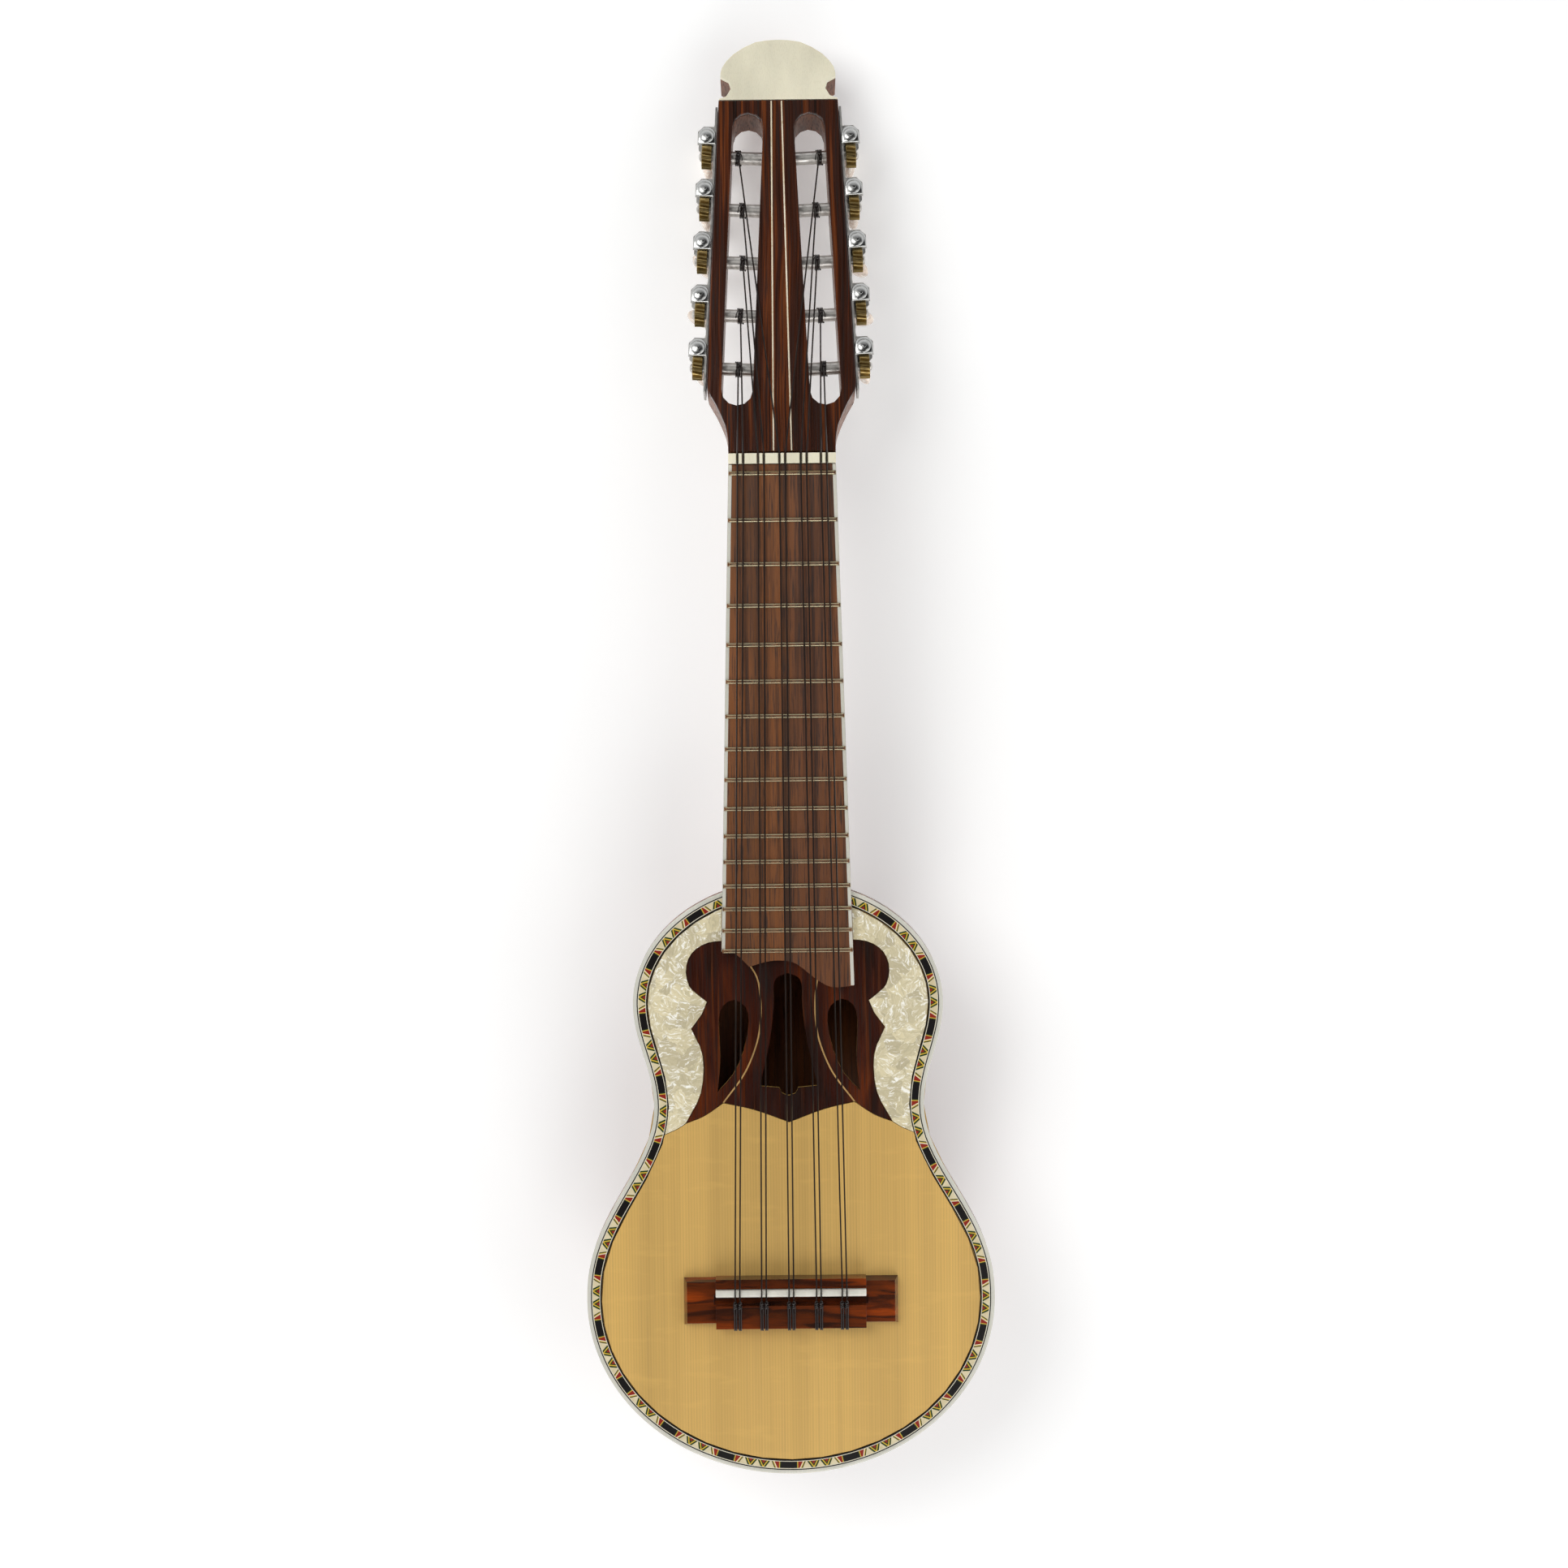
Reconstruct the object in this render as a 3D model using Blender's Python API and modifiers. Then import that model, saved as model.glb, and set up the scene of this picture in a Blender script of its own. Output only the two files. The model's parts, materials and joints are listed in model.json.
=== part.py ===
"""Charango: ten strings in five courses, carved bowl back, slotted head with ten worm-and-wheel tuners.

It lies on its back. +Z is up, +Y runs to the head, +X is the right-hand side seen from above.
The origin is on the table, under the middle of the whole instrument's box.
"""

import math

import bmesh
import bpy
from mathutils import Matrix, Vector

MM = 0.001
GAP = 0.3 * MM  # between pieces that touch

# Strings and stations. A station is a distance from the tail end of the body towards the head.
SCALE_LENGTH = 370 * MM
SADDLE_STATION = 87 * MM
COMPENSATION = 1.2 * MM
STRING_DIAMETER = 0.7 * MM
ACTION_AT_TWELFTH = 2.3 * MM
COURSE_SHARES = (-1, -0.505, 0.006, 0.52, 1)  # of the outer courses' distance from the middle
PAIR_GAP_NUT = 2.6 * MM
PAIR_GAP_SADDLE = 2.1 * MM
STRING_TO_NUT_END = 4.2 * MM
STRING_TO_BLOCK_END = 8.9 * MM

# Body
BODY_LENGTH = 275 * MM
LOWER_BOUT = 187 * MM
WAIST = 123 * MM
UPPER_BOUT = 141 * MM
LOWER_BOUT_STATION = 82 * MM
UPPER_BOUT_TO_HEEL = 56 * MM
WAIST_TO_UPPER_BOUT = 47 * MM
BODY_DEPTH = 74 * MM
BOWL_WALL = 4.5 * MM
BACK_FLAT_START = 65 * MM  # station where the straight part of the back's spine starts
BACK_FLAT_TO_UPPER_BOUT = 58 * MM
BACK_RISE = 0.16  # share of the depth by which the spine rises towards the heel

# Soundboard and its inlays
SOUNDBOARD_THICKNESS = 2.5 * MM
INLAY_THICKNESS = 1.2 * MM
RING_WIDTH = 6.5 * MM
INLAY_LINE = 0.8 * MM
BRACE_WIDTH = 6 * MM
BRACE_HEIGHT = 10 * MM
UPPER_BRACE_TO_HEEL = 35 * MM
LOWER_BRACE_TO_WAIST = 20 * MM

# Neck, fingerboard, nut, bridge, saddle
NUT_WIDTH = 48.2 * MM
NECK_TAPER = 0.0262  # half-width gained for each unit towards the tail
NECK_DEPTH = 15 * MM
HEEL_DEPTH = 46 * MM
FINGERBOARD_THICKNESS = 4 * MM
FRET_HEIGHT = 1 * MM
FRET_WIDTH = 1.8 * MM
NUT_GAP_TO_ZERO_FRET = 4.2 * MM
NUT_THICKNESS = 4.6 * MM
NUT_ABOVE_STRINGS = 0.65 * MM
TENON_WIDTH = 18 * MM
TENON_DEPTH = 24 * MM
TENON_LENGTH = 20 * MM
NECK_BLOCK_LENGTH = 24 * MM
NECK_BLOCK_WIDTH = 52 * MM
NECK_BLOCK_DEPTH = 42 * MM
BRIDGE_LENGTH = 98 * MM
BRIDGE_BLOCK_LENGTH = 68.6 * MM
BRIDGE_WIDTH = 22 * MM
BRIDGE_BLOCK_HEIGHT = 7 * MM
BRIDGE_WING_HEIGHT = 3.6 * MM
BRIDGE_SLOPE = 1.4 * MM  # how far the wings' top edges are drawn in
BRIDGE_AHEAD_OF_SADDLE = 4.2 * MM
BRIDGE_BLOCK_OVERHANG = 0.5 * MM
TIE_GROOVE_FLOOR = 2.4 * MM
TIE_BLOCK_WIDTH = 10 * MM
TIE_HOLE_DIAMETER = 1.5 * MM
TIE_HOLE_HEIGHT = 3.8 * MM
SADDLE_THICKNESS = 3.2 * MM
SADDLE_SLOT_DEPTH = 3 * MM

# Head: s is measured along it from the nut, and its face tilts back
HEAD_ANGLE = math.radians(14)
HEAD_THICKNESS = 19 * MM
HEAD_VENEER = 2.2 * MM
HEAD_FACE_START = 0.9 * MM  # s where the veneer starts, behind the nut
HEAD_SHOULDER_HALF_WIDTH = 33.6 * MM
HEAD_TOP_HALF_WIDTH = 27.4 * MM
SHOULDER_TO_ROLLER = 8.9 * MM  # from where the side starts to the first roller
ROLLER_TO_CREST = 24.6 * MM  # from the last roller to where the crest plate starts
CREST_LENGTH = 29.8 * MM
SLOT_WIDTH = 14 * MM
SLOT_WALL = 6.9 * MM
SLOT_TO_ROLLER = 19.2 * MM  # from a slot's nut end to the first roller
ROLLER_TO_SLOT_END = 19.4 * MM

# Tuners
TUNERS_PER_SIDE = 5
FIRST_ROLLER = 42.4 * MM
ROLLER_PITCH = 25.35 * MM
ROLLER_DIAMETER = 5.9 * MM
ROLLER_DEPTH = 7.2 * MM  # from the head's face to the roller's axis
ROLLER_END_WALL = 2.15 * MM  # from a roller's inner end to the head's middle, at the crest
SPINDLE_DIAMETER = 4 * MM
GEAR_TEETH = 14
GEAR_PITCH_RADIUS = 4.8 * MM
GEAR_ADDENDUM = 0.7 * MM
GEAR_THICKNESS = 4.5 * MM
GEAR_OFFSET = 4.6 * MM  # from the head's side to the gear's middle and the worm's axis
WORM_PITCH_RADIUS = 2.4 * MM
WORM_ADDENDUM = 0.5 * MM
TOOTH_CLEARANCE = 0.2 * MM
WORM_TURNS = 3
PLATE_THICKNESS = 1 * MM
PLATE_TO_ROLLER = 12.9 * MM  # from the plate's nut end to the first roller
ROLLER_TO_PLATE_END = 22 * MM
LUG_THICKNESS = 1.1 * MM
LUG_SPREAD = 5.1 * MM  # from the roller's axis to each lug's near face
CAP_RADIUS = 3 * MM
BUTTON_WIDTH = 14.6 * MM
BUTTON_LENGTH = 14 * MM
BUTTON_THICKNESS = 6.4 * MM
BUTTON_BEHIND_HEAD = 5.5 * MM  # from the head's back to where the button starts
BUTTON_TURNS = (20, 75, 50, 5, 0)  # degrees each button has been turned by, from nut to crest
SLOT_LANES = (0, 0, 0, 1 * MM, 4 * MM)  # how far out of its slot's middle each string winds

# Derived
UPPER_BOUT_STATION = BODY_LENGTH - UPPER_BOUT_TO_HEEL
WAIST_STATION = UPPER_BOUT_STATION - WAIST_TO_UPPER_BOUT
BACK_FLAT = (BACK_FLAT_START, UPPER_BOUT_STATION - BACK_FLAT_TO_UPPER_BOUT)
LAST_ROLLER = FIRST_ROLLER + (TUNERS_PER_SIDE - 1) * ROLLER_PITCH
HEAD_SHOULDER = (HEAD_SHOULDER_HALF_WIDTH, FIRST_ROLLER - SHOULDER_TO_ROLLER)
HEAD_TOP = (HEAD_TOP_HALF_WIDTH, LAST_ROLLER + ROLLER_TO_CREST)
HEAD_LENGTH = HEAD_TOP[1] + CREST_LENGTH
SLOT_ENDS = (FIRST_ROLLER - SLOT_TO_ROLLER, LAST_ROLLER + ROLLER_TO_SLOT_END)
PLATE_ENDS = (FIRST_ROLLER - PLATE_TO_ROLLER, LAST_ROLLER + ROLLER_TO_PLATE_END)
SHAFT_BEHIND_FACE = HEAD_THICKNESS + BUTTON_BEHIND_HEAD
GEAR_TIP_RADIUS = GEAR_PITCH_RADIUS + GEAR_ADDENDUM
GEAR_ROOT_RADIUS = GEAR_PITCH_RADIUS - WORM_ADDENDUM - TOOTH_CLEARANCE
WORM_TIP_RADIUS = WORM_PITCH_RADIUS + WORM_ADDENDUM
WORM_ROOT_RADIUS = WORM_PITCH_RADIUS - GEAR_ADDENDUM - TOOTH_CLEARANCE
COURSE_REACH_NUT = NUT_WIDTH / 2 - STRING_TO_NUT_END - PAIR_GAP_NUT / 2
COURSE_REACH_SADDLE = BRIDGE_BLOCK_LENGTH / 2 - STRING_TO_BLOCK_END - PAIR_GAP_SADDLE / 2
ZERO_FRET_STATION = SADDLE_STATION + COMPENSATION + SCALE_LENGTH
NUT_STATION = ZERO_FRET_STATION + NUT_GAP_TO_ZERO_FRET
HEAD_STATION = NUT_STATION + NUT_THICKNESS + GAP
OVERALL_LENGTH = HEAD_STATION + HEAD_LENGTH * math.cos(HEAD_ANGLE)
SIDE_ANGLE = math.atan((HEAD_SHOULDER[0] - HEAD_TOP[0]) / (HEAD_TOP[1] - HEAD_SHOULDER[1]))
CENTRE_DISTANCE = GEAR_PITCH_RADIUS + WORM_PITCH_RADIUS
WORM_LEAD = 2 * math.pi * GEAR_PITCH_RADIUS / GEAR_TEETH
# Half-widths of the thread and of the teeth, as shares of the pitch
THREAD_FOOT, THREAD_CREST = 0.3 * WORM_LEAD, 0.1 * WORM_LEAD
TOOTH_FOOT, TOOTH_CREST = 0.288 * WORM_LEAD, 0.125 * WORM_LEAD
FINGERBOARD_TOP = GAP + FINGERBOARD_THICKNESS
STRING_RADIUS = STRING_DIAMETER / 2
STRING_AT_ZERO = FINGERBOARD_TOP + FRET_HEIGHT + GAP + STRING_RADIUS
STRING_AT_SADDLE = STRING_AT_ZERO + 2 * (ACTION_AT_TWELFTH - GAP)
SADDLE_TOP = STRING_AT_SADDLE - STRING_RADIUS - GAP
HEAD_FACE_HEIGHT = 0.2 * MM  # of the face at the nut, above the soundboard
RIM_HEIGHT = -SOUNDBOARD_THICKNESS - GAP
TOP_WORM = LAST_ROLLER + CENTRE_DISTANCE
BUTTON_MIDDLE = SHAFT_BEHIND_FACE + BUTTON_LENGTH / 2  # behind the head's face
BUTTON_DROP = (TOP_WORM * math.sin(HEAD_ANGLE) + BUTTON_MIDDLE * math.cos(HEAD_ANGLE)
               + math.hypot(BUTTON_LENGTH / 2 * math.cos(HEAD_ANGLE),
                            BUTTON_WIDTH / 2 * math.sin(HEAD_ANGLE)) - HEAD_FACE_HEIGHT)
FACE_HEIGHT = max(BODY_DEPTH, BUTTON_DROP)  # of the soundboard above the table
TENON_STATION = BODY_LENGTH - TENON_LENGTH
ROLLER_REACH = ((HEAD_SHOULDER[0] - (LAST_ROLLER - HEAD_SHOULDER[1]) * math.tan(SIDE_ANGLE))
                * math.cos(SIDE_ANGLE) - ROLLER_END_WALL)
NUT_STRING_HEIGHT = STRING_AT_ZERO - 0.1 * MM
NUT_TOP = NUT_STRING_HEIGHT + NUT_ABOVE_STRINGS
SIDES = ((1, "right"), (-1, "left"))


# ---------------------------------------------------------------- scene, objects and materials

def clear_scene():
    for thing in list(bpy.data.objects):
        bpy.data.objects.remove(thing, do_unlink=True)


def collection(name):
    found = bpy.data.collections.new(name)
    bpy.context.scene.collection.children.link(found)
    return found


clear_scene()
CHARANGO = collection("charango")
CUTTERS = collection("cutters")


def material(name, colour, roughness, metallic=0.0):
    """A Principled material from an sRGB hex colour."""
    made = bpy.data.materials.new(name)
    made.use_nodes = True
    shader = made.node_tree.nodes["Principled BSDF"]
    channels = [int(colour[i:i + 2], 16) / 255 for i in (1, 3, 5)]
    linear = [c / 12.92 if c <= 0.04045 else ((c + 0.055) / 1.055) ** 2.4 for c in channels]
    shader.inputs["Base Color"].default_value = (*linear, 1)
    shader.inputs["Roughness"].default_value = roughness
    shader.inputs["Metallic"].default_value = metallic
    return made


CEDAR = material("reddish_cedar", "#7A4426", 0.35)
SPRUCE = material("spruce", "#CBA65E", 0.4)
BRACE_WOOD = material("spruce_brace", "#D2B077", 0.6)
ROSEWOOD = material("dark_rosewood", "#341606", 0.3)
VENEER = material("rosewood_veneer", "#4A2408", 0.3)
FINGERBOARD_WOOD = material("brown_rosewood", "#5C3A28", 0.45)
BRIDGE_WOOD = material("figured_bridge_wood", "#6B3008", 0.2)
PEARLOID = material("pearloid", "#CDBF96", 0.25)
RING_MATERIAL = material("rim_marquetry", "#B9A67A", 0.3)
IVORY = material("ivory_plastic", "#D9D3BC", 0.35)
BONE = material("bone", "#C9C2AE", 0.4)
STEEL = material("nickel_steel", "#A9A9A6", 0.3, 1.0)
BRASS = material("brass", "#8A7A48", 0.35, 1.0)
NYLON = material("black_nylon", "#1A1210", 0.3)


def empty(name, matrix, parent=None):
    made = bpy.data.objects.new(name, None)
    CHARANGO.objects.link(made)
    made.parent = parent
    made.matrix_local = matrix
    return made


def add_object(name, mesh, look, parent, matrix=Matrix()):
    """A piece of the instrument, placed in its parent's frame."""
    made = bpy.data.objects.new(name, mesh)
    CHARANGO.objects.link(made)
    made.parent = parent
    made.matrix_local = matrix
    if look and not mesh.materials:
        mesh.materials.append(look)
    return made


def add_cutter(name, mesh, parent, matrix=Matrix()):
    made = bpy.data.objects.new(name, mesh)
    CUTTERS.objects.link(made)
    made.parent = parent
    made.matrix_local = matrix
    made.hide_render = True
    made.display_type = "WIRE"
    return made


def boolean(target, cutter, operation="DIFFERENCE"):
    step = target.modifiers.new(cutter.name, "BOOLEAN")
    step.operation = operation
    step.object = cutter
    step.solver = "EXACT"
    return step


def mesh_from(work, name):
    """The finished mesh of a bmesh, with its faces pointing out."""
    bmesh.ops.recalc_face_normals(work, faces=work.faces)
    mesh = bpy.data.meshes.new(name)
    work.to_mesh(mesh)
    work.free()
    return mesh


def baked(target, name):
    """One object's evaluated mesh, for a shape that several objects share."""
    bpy.context.view_layer.update()
    seen = target.evaluated_get(bpy.context.evaluated_depsgraph_get())
    mesh = bpy.data.meshes.new_from_object(seen)
    mesh.name = name
    bpy.data.objects.remove(target, do_unlink=True)
    return mesh


# ---------------------------------------------------------------- shapes

def smooth(points, steps=4):
    """A Catmull-Rom curve through the points, with steps stretches between each two."""
    rows = [Vector(p) for p in points]
    rows = [2 * rows[0] - rows[1]] + rows + [2 * rows[-1] - rows[-2]]
    curve = []
    for a, b, c, d in zip(rows, rows[1:], rows[2:], rows[3:]):
        for k in range(steps):
            t = k / steps
            curve.append(0.5 * (2 * b + (c - a) * t + (2 * a - 5 * b + 4 * c - d) * t ** 2
                                + (3 * b - a - 3 * c + d) * t ** 3))
    curve.append(rows[-2])
    return [(p.x, p.y) for p in curve]


def offset_path(points, distance, closed=False):
    """The path moved to the left of its own direction by a distance."""
    moved = []
    for i, (x, y) in enumerate(points):
        before = points[i - 1] if closed or i > 0 else points[i]
        after = points[(i + 1) % len(points)] if closed or i < len(points) - 1 else points[i]
        along = Vector((after[0] - before[0], after[1] - before[1])).normalized()
        moved.append((x - along.y * distance, y + along.x * distance))
    return moved


def mirrored(points):
    """The same outline on the other side, still running the same way round."""
    return [(-x, y) for x, y in reversed(points)]


def plate(points, low, high, name):
    """A flat outline made solid between two heights."""
    work = bmesh.new()
    face = work.faces.new([work.verts.new((x, y, low)) for x, y in points])
    raised = bmesh.ops.extrude_face_region(work, geom=[face])
    top = [v for v in raised["geom"] if isinstance(v, bmesh.types.BMVert)]
    bmesh.ops.translate(work, vec=(0, 0, high - low), verts=top)
    return mesh_from(work, name)


def box(low, high, name):
    work = bmesh.new()
    size = [b - a for a, b in zip(low, high)]
    middle = [(a + b) / 2 for a, b in zip(low, high)]
    bmesh.ops.create_cube(work, size=1, matrix=Matrix.LocRotScale(middle, None, size))
    return mesh_from(work, name)


def cylinder(radius, low, high, name, sides=12):
    """A cylinder along Z."""
    work = bmesh.new()
    bmesh.ops.create_cone(work, cap_ends=True, segments=sides, radius1=radius, radius2=radius,
                          depth=high - low, matrix=Matrix.Translation((0, 0, (low + high) / 2)))
    return mesh_from(work, name)


def loft(rings, name):
    """A solid through closed rings that all have the same number of points."""
    work = bmesh.new()
    rows = [[work.verts.new(p) for p in ring] for ring in rings]
    for lower, upper in zip(rows, rows[1:]):
        for i in range(len(lower)):
            j = (i + 1) % len(lower)
            work.faces.new((lower[i], lower[j], upper[j], upper[i]))
    work.faces.new(rows[0])
    work.faces.new(rows[-1])
    return mesh_from(work, name)


def turned(profile, name, sides=12):
    """A solid of revolution about Z from (radius, height) points, top to bottom."""
    mesh = bpy.data.meshes.new(name)
    mesh.from_pydata([(r, 0, z) for r, z in profile],
                     [(i, i + 1) for i in range(len(profile) - 1)], [])
    target = add_object(name, mesh, None, None)
    screw = target.modifiers.new("turn", "SCREW")
    screw.steps = screw.render_steps = sides
    screw.use_merge_vertices = True
    screw.merge_threshold = 0.01 * MM
    return baked(target, name)


# ---------------------------------------------------------------- outlines

def body_half_outline():
    """Right half of the body's edge, from the tail end to the neck end: ellipses joined by a waist."""
    lower, waist, upper = LOWER_BOUT / 2, WAIST / 2, UPPER_BOUT / 2
    points = []
    for k in range(10):
        turn = math.radians(9 + 9 * k)
        points.append((lower * math.sin(turn), LOWER_BOUT_STATION * (1 - math.cos(turn))))
    for start, end, wide, narrow, steps, lean in (
            (LOWER_BOUT_STATION, WAIST_STATION, lower, waist, 6, 1.15),
            (WAIST_STATION, UPPER_BOUT_STATION, waist, upper, 4, 1.0)):
        for k in range(1, steps + 1):
            share = k / steps
            blend = (1 + math.cos(math.pi * share ** lean)) / 2
            points.append((narrow + (wide - narrow) * blend, start + (end - start) * share))
    for k in range(1, 9):
        turn = math.radians(10 * k)
        points.append((upper * math.cos(turn), UPPER_BOUT_STATION
                       + (BODY_LENGTH - UPPER_BOUT_STATION) * math.sin(turn)))
    return points


def body_outline(inset=0.0):
    """The whole edge, counterclockwise from the tail end, moved inwards by a distance."""
    right = body_half_outline()
    whole = [(0, 0)] + right + [(0, BODY_LENGTH)] + mirrored(right)
    return offset_path(whole, inset, closed=True) if inset else whole


def neck_half_width(station):
    return NUT_WIDTH / 2 + NECK_TAPER * (ZERO_FRET_STATION - station)


def edge_width(station):
    """Half-width of the body at a station between its bouts and its neck end."""
    reach = (station - UPPER_BOUT_STATION) / (BODY_LENGTH - UPPER_BOUT_STATION)
    return UPPER_BOUT / 2 * math.sqrt(1 - reach ** 2)


def neck_meets_edge():
    """Station at which the body's edge is as wide as the neck."""
    share = neck_half_width(BODY_LENGTH) / (UPPER_BOUT / 2)
    return UPPER_BOUT_STATION + UPPER_BOUT_TO_HEEL * math.sqrt(1 - share ** 2)


def in_rosette(points):
    """Points about the upper bout's station, in millimetres for a waist of 110 mm inside its ring."""
    share = (WAIST / 2 - RING_WIDTH) / 55
    return [(x * share, UPPER_BOUT_STATION + y * MM) for x, y in points]


def in_board(points):
    """Points as shares of the board's half-width, and millimetres from the upper bout's station."""
    half = neck_half_width(UPPER_BOUT_STATION)
    return [(x * half, UPPER_BOUT_STATION + y * MM) for x, y in points]


# Each is the right-hand side; the left is its mirror image.
WING_TOP = in_rosette(smooth([(20, 29), (29.5, 28.6), (36, 27.8), (41.4, 25), (44.8, 20.6), (46, 14.5),
                              (44.6, 8.4), (41.8, 5.3), (36.6, 1)], 2))
WING_NOTCH = in_rosette([(36.6, 1), (39, -4.8), (43.9, -11.4)])
WING_SIDE = in_rosette(smooth([(43.9, -11.4), (38.8, -24), (39.9, -41), (46.9, -54.7)], 3))
WING_FOOT = in_rosette(smooth([(46.9, -54.7), (38.5, -51.3), (29.9, -45.5)], 3))
INNER_LINE = in_rosette(smooth([(29.9, -45.5), (20, -31.9), (14.2, -17.7), (12.4, -5.7),
                                (12.6, 4.3), (14, 12), (17.6, 18.4), (21.5, 23.4)], 3))
BELL_FOOT = in_rosette(smooth([(29.9, -45.5), (16, -48.7), (0, -54.6)], 3))
BELL_HOLE = in_rosette(smooth([(0, 13.8), (4.6, 12), (6.4, 8), (6.5, -1.5), (8.6, -18),
                               (13.3, -38.2)], 3)
                       + smooth([(4.3, -39), (3, -41.6), (0, -42.7)], 2))
LEAF_HOLE = in_rosette(smooth([(32.5, -40.6), (31, -25), (31.6, -8), (29.6, -1), (24.6, 1.8),
                               (19.4, -1.4), (17.9, -8.7), (20.5, -22), (25.4, -32.8),
                               (32.5, -40.6)], 2))[:-1]
BOARD_END = in_board(smooth([(-0.983, 25.2), (-0.776, 23.5), (-0.569, 17.4)], 3)[:-1]
                     + smooth([(-0.569, 17.4), (-0.329, 19.6), (-0.099, 20.2), (0.132, 18.6),
                               (0.411, 11.9), (0.658, 7.8), (0.983, 8.4)], 3))
PEARL_FOOT = in_rosette([(47.3, -54.9), (51, -57.3), (58, -60)])


# ---------------------------------------------------------------- frames

BODY_FRAME = empty("body_frame", Matrix.Translation((0, -OVERALL_LENGTH / 2, FACE_HEIGHT)))
HEAD_FRAME = empty("head_frame", Matrix.Translation((0, HEAD_STATION, HEAD_FACE_HEIGHT))
                   @ Matrix.Rotation(-HEAD_ANGLE, 4, "X"), BODY_FRAME)


def side_point(side, outwards, along, height=0.0):
    """A point in the head's frame, measured from its straight side: side is 1 or -1."""
    root = HEAD_SHOULDER[0] + HEAD_SHOULDER[1] * math.tan(SIDE_ANGLE)
    x = root + outwards * math.cos(SIDE_ANGLE) - along * math.sin(SIDE_ANGLE)
    y = outwards * math.sin(SIDE_ANGLE) + along * math.cos(SIDE_ANGLE)
    return Vector((side * x, y, height))


def side_turn(side):
    """Rotation whose X axis is square to the head's side, towards +X, and whose Y axis runs along it."""
    return Matrix.Rotation(side * SIDE_ANGLE, 4, "Z")


def roller_along(index):
    """Distance along the side at which a roller's axis crosses it."""
    return (FIRST_ROLLER + index * ROLLER_PITCH) / math.cos(SIDE_ANGLE)


# ---------------------------------------------------------------- bowl, block and braces

def bowl_solid(name, inset, depth, top):
    """The carved back's form: upright at the rim, rounding under to a narrow flat along the spine."""
    outline = body_outline(inset)
    middle = sum(BACK_FLAT) / 2
    shrink = (BACK_FLAT[1] - BACK_FLAT[0]) / BODY_LENGTH
    rings = [[(x, y, top) for x, y in outline], [(x, y, RIM_HEIGHT - 4 * MM) for x, y in outline]]
    last = math.radians(86)
    flat_end = BACK_FLAT[1] + (BODY_LENGTH - BACK_FLAT[1]) * math.cos(last) ** 0.75
    for degrees in (16, 30, 43, 55, 66, 75, 86):
        turn = math.radians(degrees)
        ring = []
        for x, y in outline:
            spine = middle + (y - BODY_LENGTH / 2) * shrink
            station = spine + (y - spine) * math.cos(turn) ** 0.75
            beyond = max(0.0, (station - flat_end) / (BODY_LENGTH - flat_end))
            deep = (depth * (1 - BACK_RISE * beyond ** 2)) * (math.sin(turn) / math.sin(last)) ** 0.9
            ring.append((x * math.cos(turn) ** 0.6, station, -deep))
        rings.append(ring)
    return loft(rings, name)


def make_bowl():
    bowl = add_object("bowl", bowl_solid("bowl", 0, BODY_DEPTH, RIM_HEIGHT), CEDAR, BODY_FRAME)
    hollow = add_cutter("bowl_hollow", bowl_solid("bowl_hollow", BOWL_WALL, BODY_DEPTH - BOWL_WALL,
                                                  5 * MM), BODY_FRAME)
    boolean(bowl, hollow)
    boolean(bowl, MORTISE)


def make_mortise():
    half = TENON_WIDTH / 2 + GAP
    low = (-half, TENON_STATION - GAP, RIM_HEIGHT - 2 * GAP - TENON_DEPTH)
    return add_cutter("mortise", box(low, (half, BODY_LENGTH + 5 * MM, 5 * MM), "mortise"),
                      BODY_FRAME)


def make_neck_block():
    low = (-NECK_BLOCK_WIDTH / 2, BODY_LENGTH - BOWL_WALL - NECK_BLOCK_LENGTH,
           RIM_HEIGHT - NECK_BLOCK_DEPTH)
    high = (NECK_BLOCK_WIDTH / 2, BODY_LENGTH, RIM_HEIGHT)
    block = add_object("neck_block", box(low, high, "neck_block"), BRACE_WOOD, BODY_FRAME)
    inside = add_cutter("bowl_inside", bowl_solid("bowl_inside", BOWL_WALL + GAP,
                                                  BODY_DEPTH - BOWL_WALL - GAP, 5 * MM), BODY_FRAME)
    boolean(block, inside, "INTERSECT")
    boolean(block, MORTISE)


def make_brace(name, station, half_length):
    """A bar across the soundboard's underside, with its ends cut down."""
    low, high = RIM_HEIGHT - BRACE_HEIGHT, RIM_HEIGHT
    scoop = BRACE_HEIGHT * 0.6
    half = half_length
    profile = [(-half, high), (-half, high - BRACE_HEIGHT + scoop), (-half + 2 * scoop, low),
               (half - 2 * scoop, low), (half, high - BRACE_HEIGHT + scoop), (half, high)]
    stand_up = Matrix.Translation((0, station, 0)) @ Matrix.Rotation(math.radians(90), 4, "X")
    add_object(name, plate(profile, -BRACE_WIDTH / 2, BRACE_WIDTH / 2, name), BRACE_WOOD,
               BODY_FRAME, stand_up)


def make_braces():
    clear = BOWL_WALL + 3 * MM
    upper = BODY_LENGTH - UPPER_BRACE_TO_HEEL
    make_brace("upper_brace", upper, edge_width(upper + BRACE_WIDTH / 2) - clear)
    make_brace("lower_brace", WAIST_STATION - LOWER_BRACE_TO_WAIST, WAIST / 2 - clear)


# ---------------------------------------------------------------- soundboard and inlays

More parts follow.
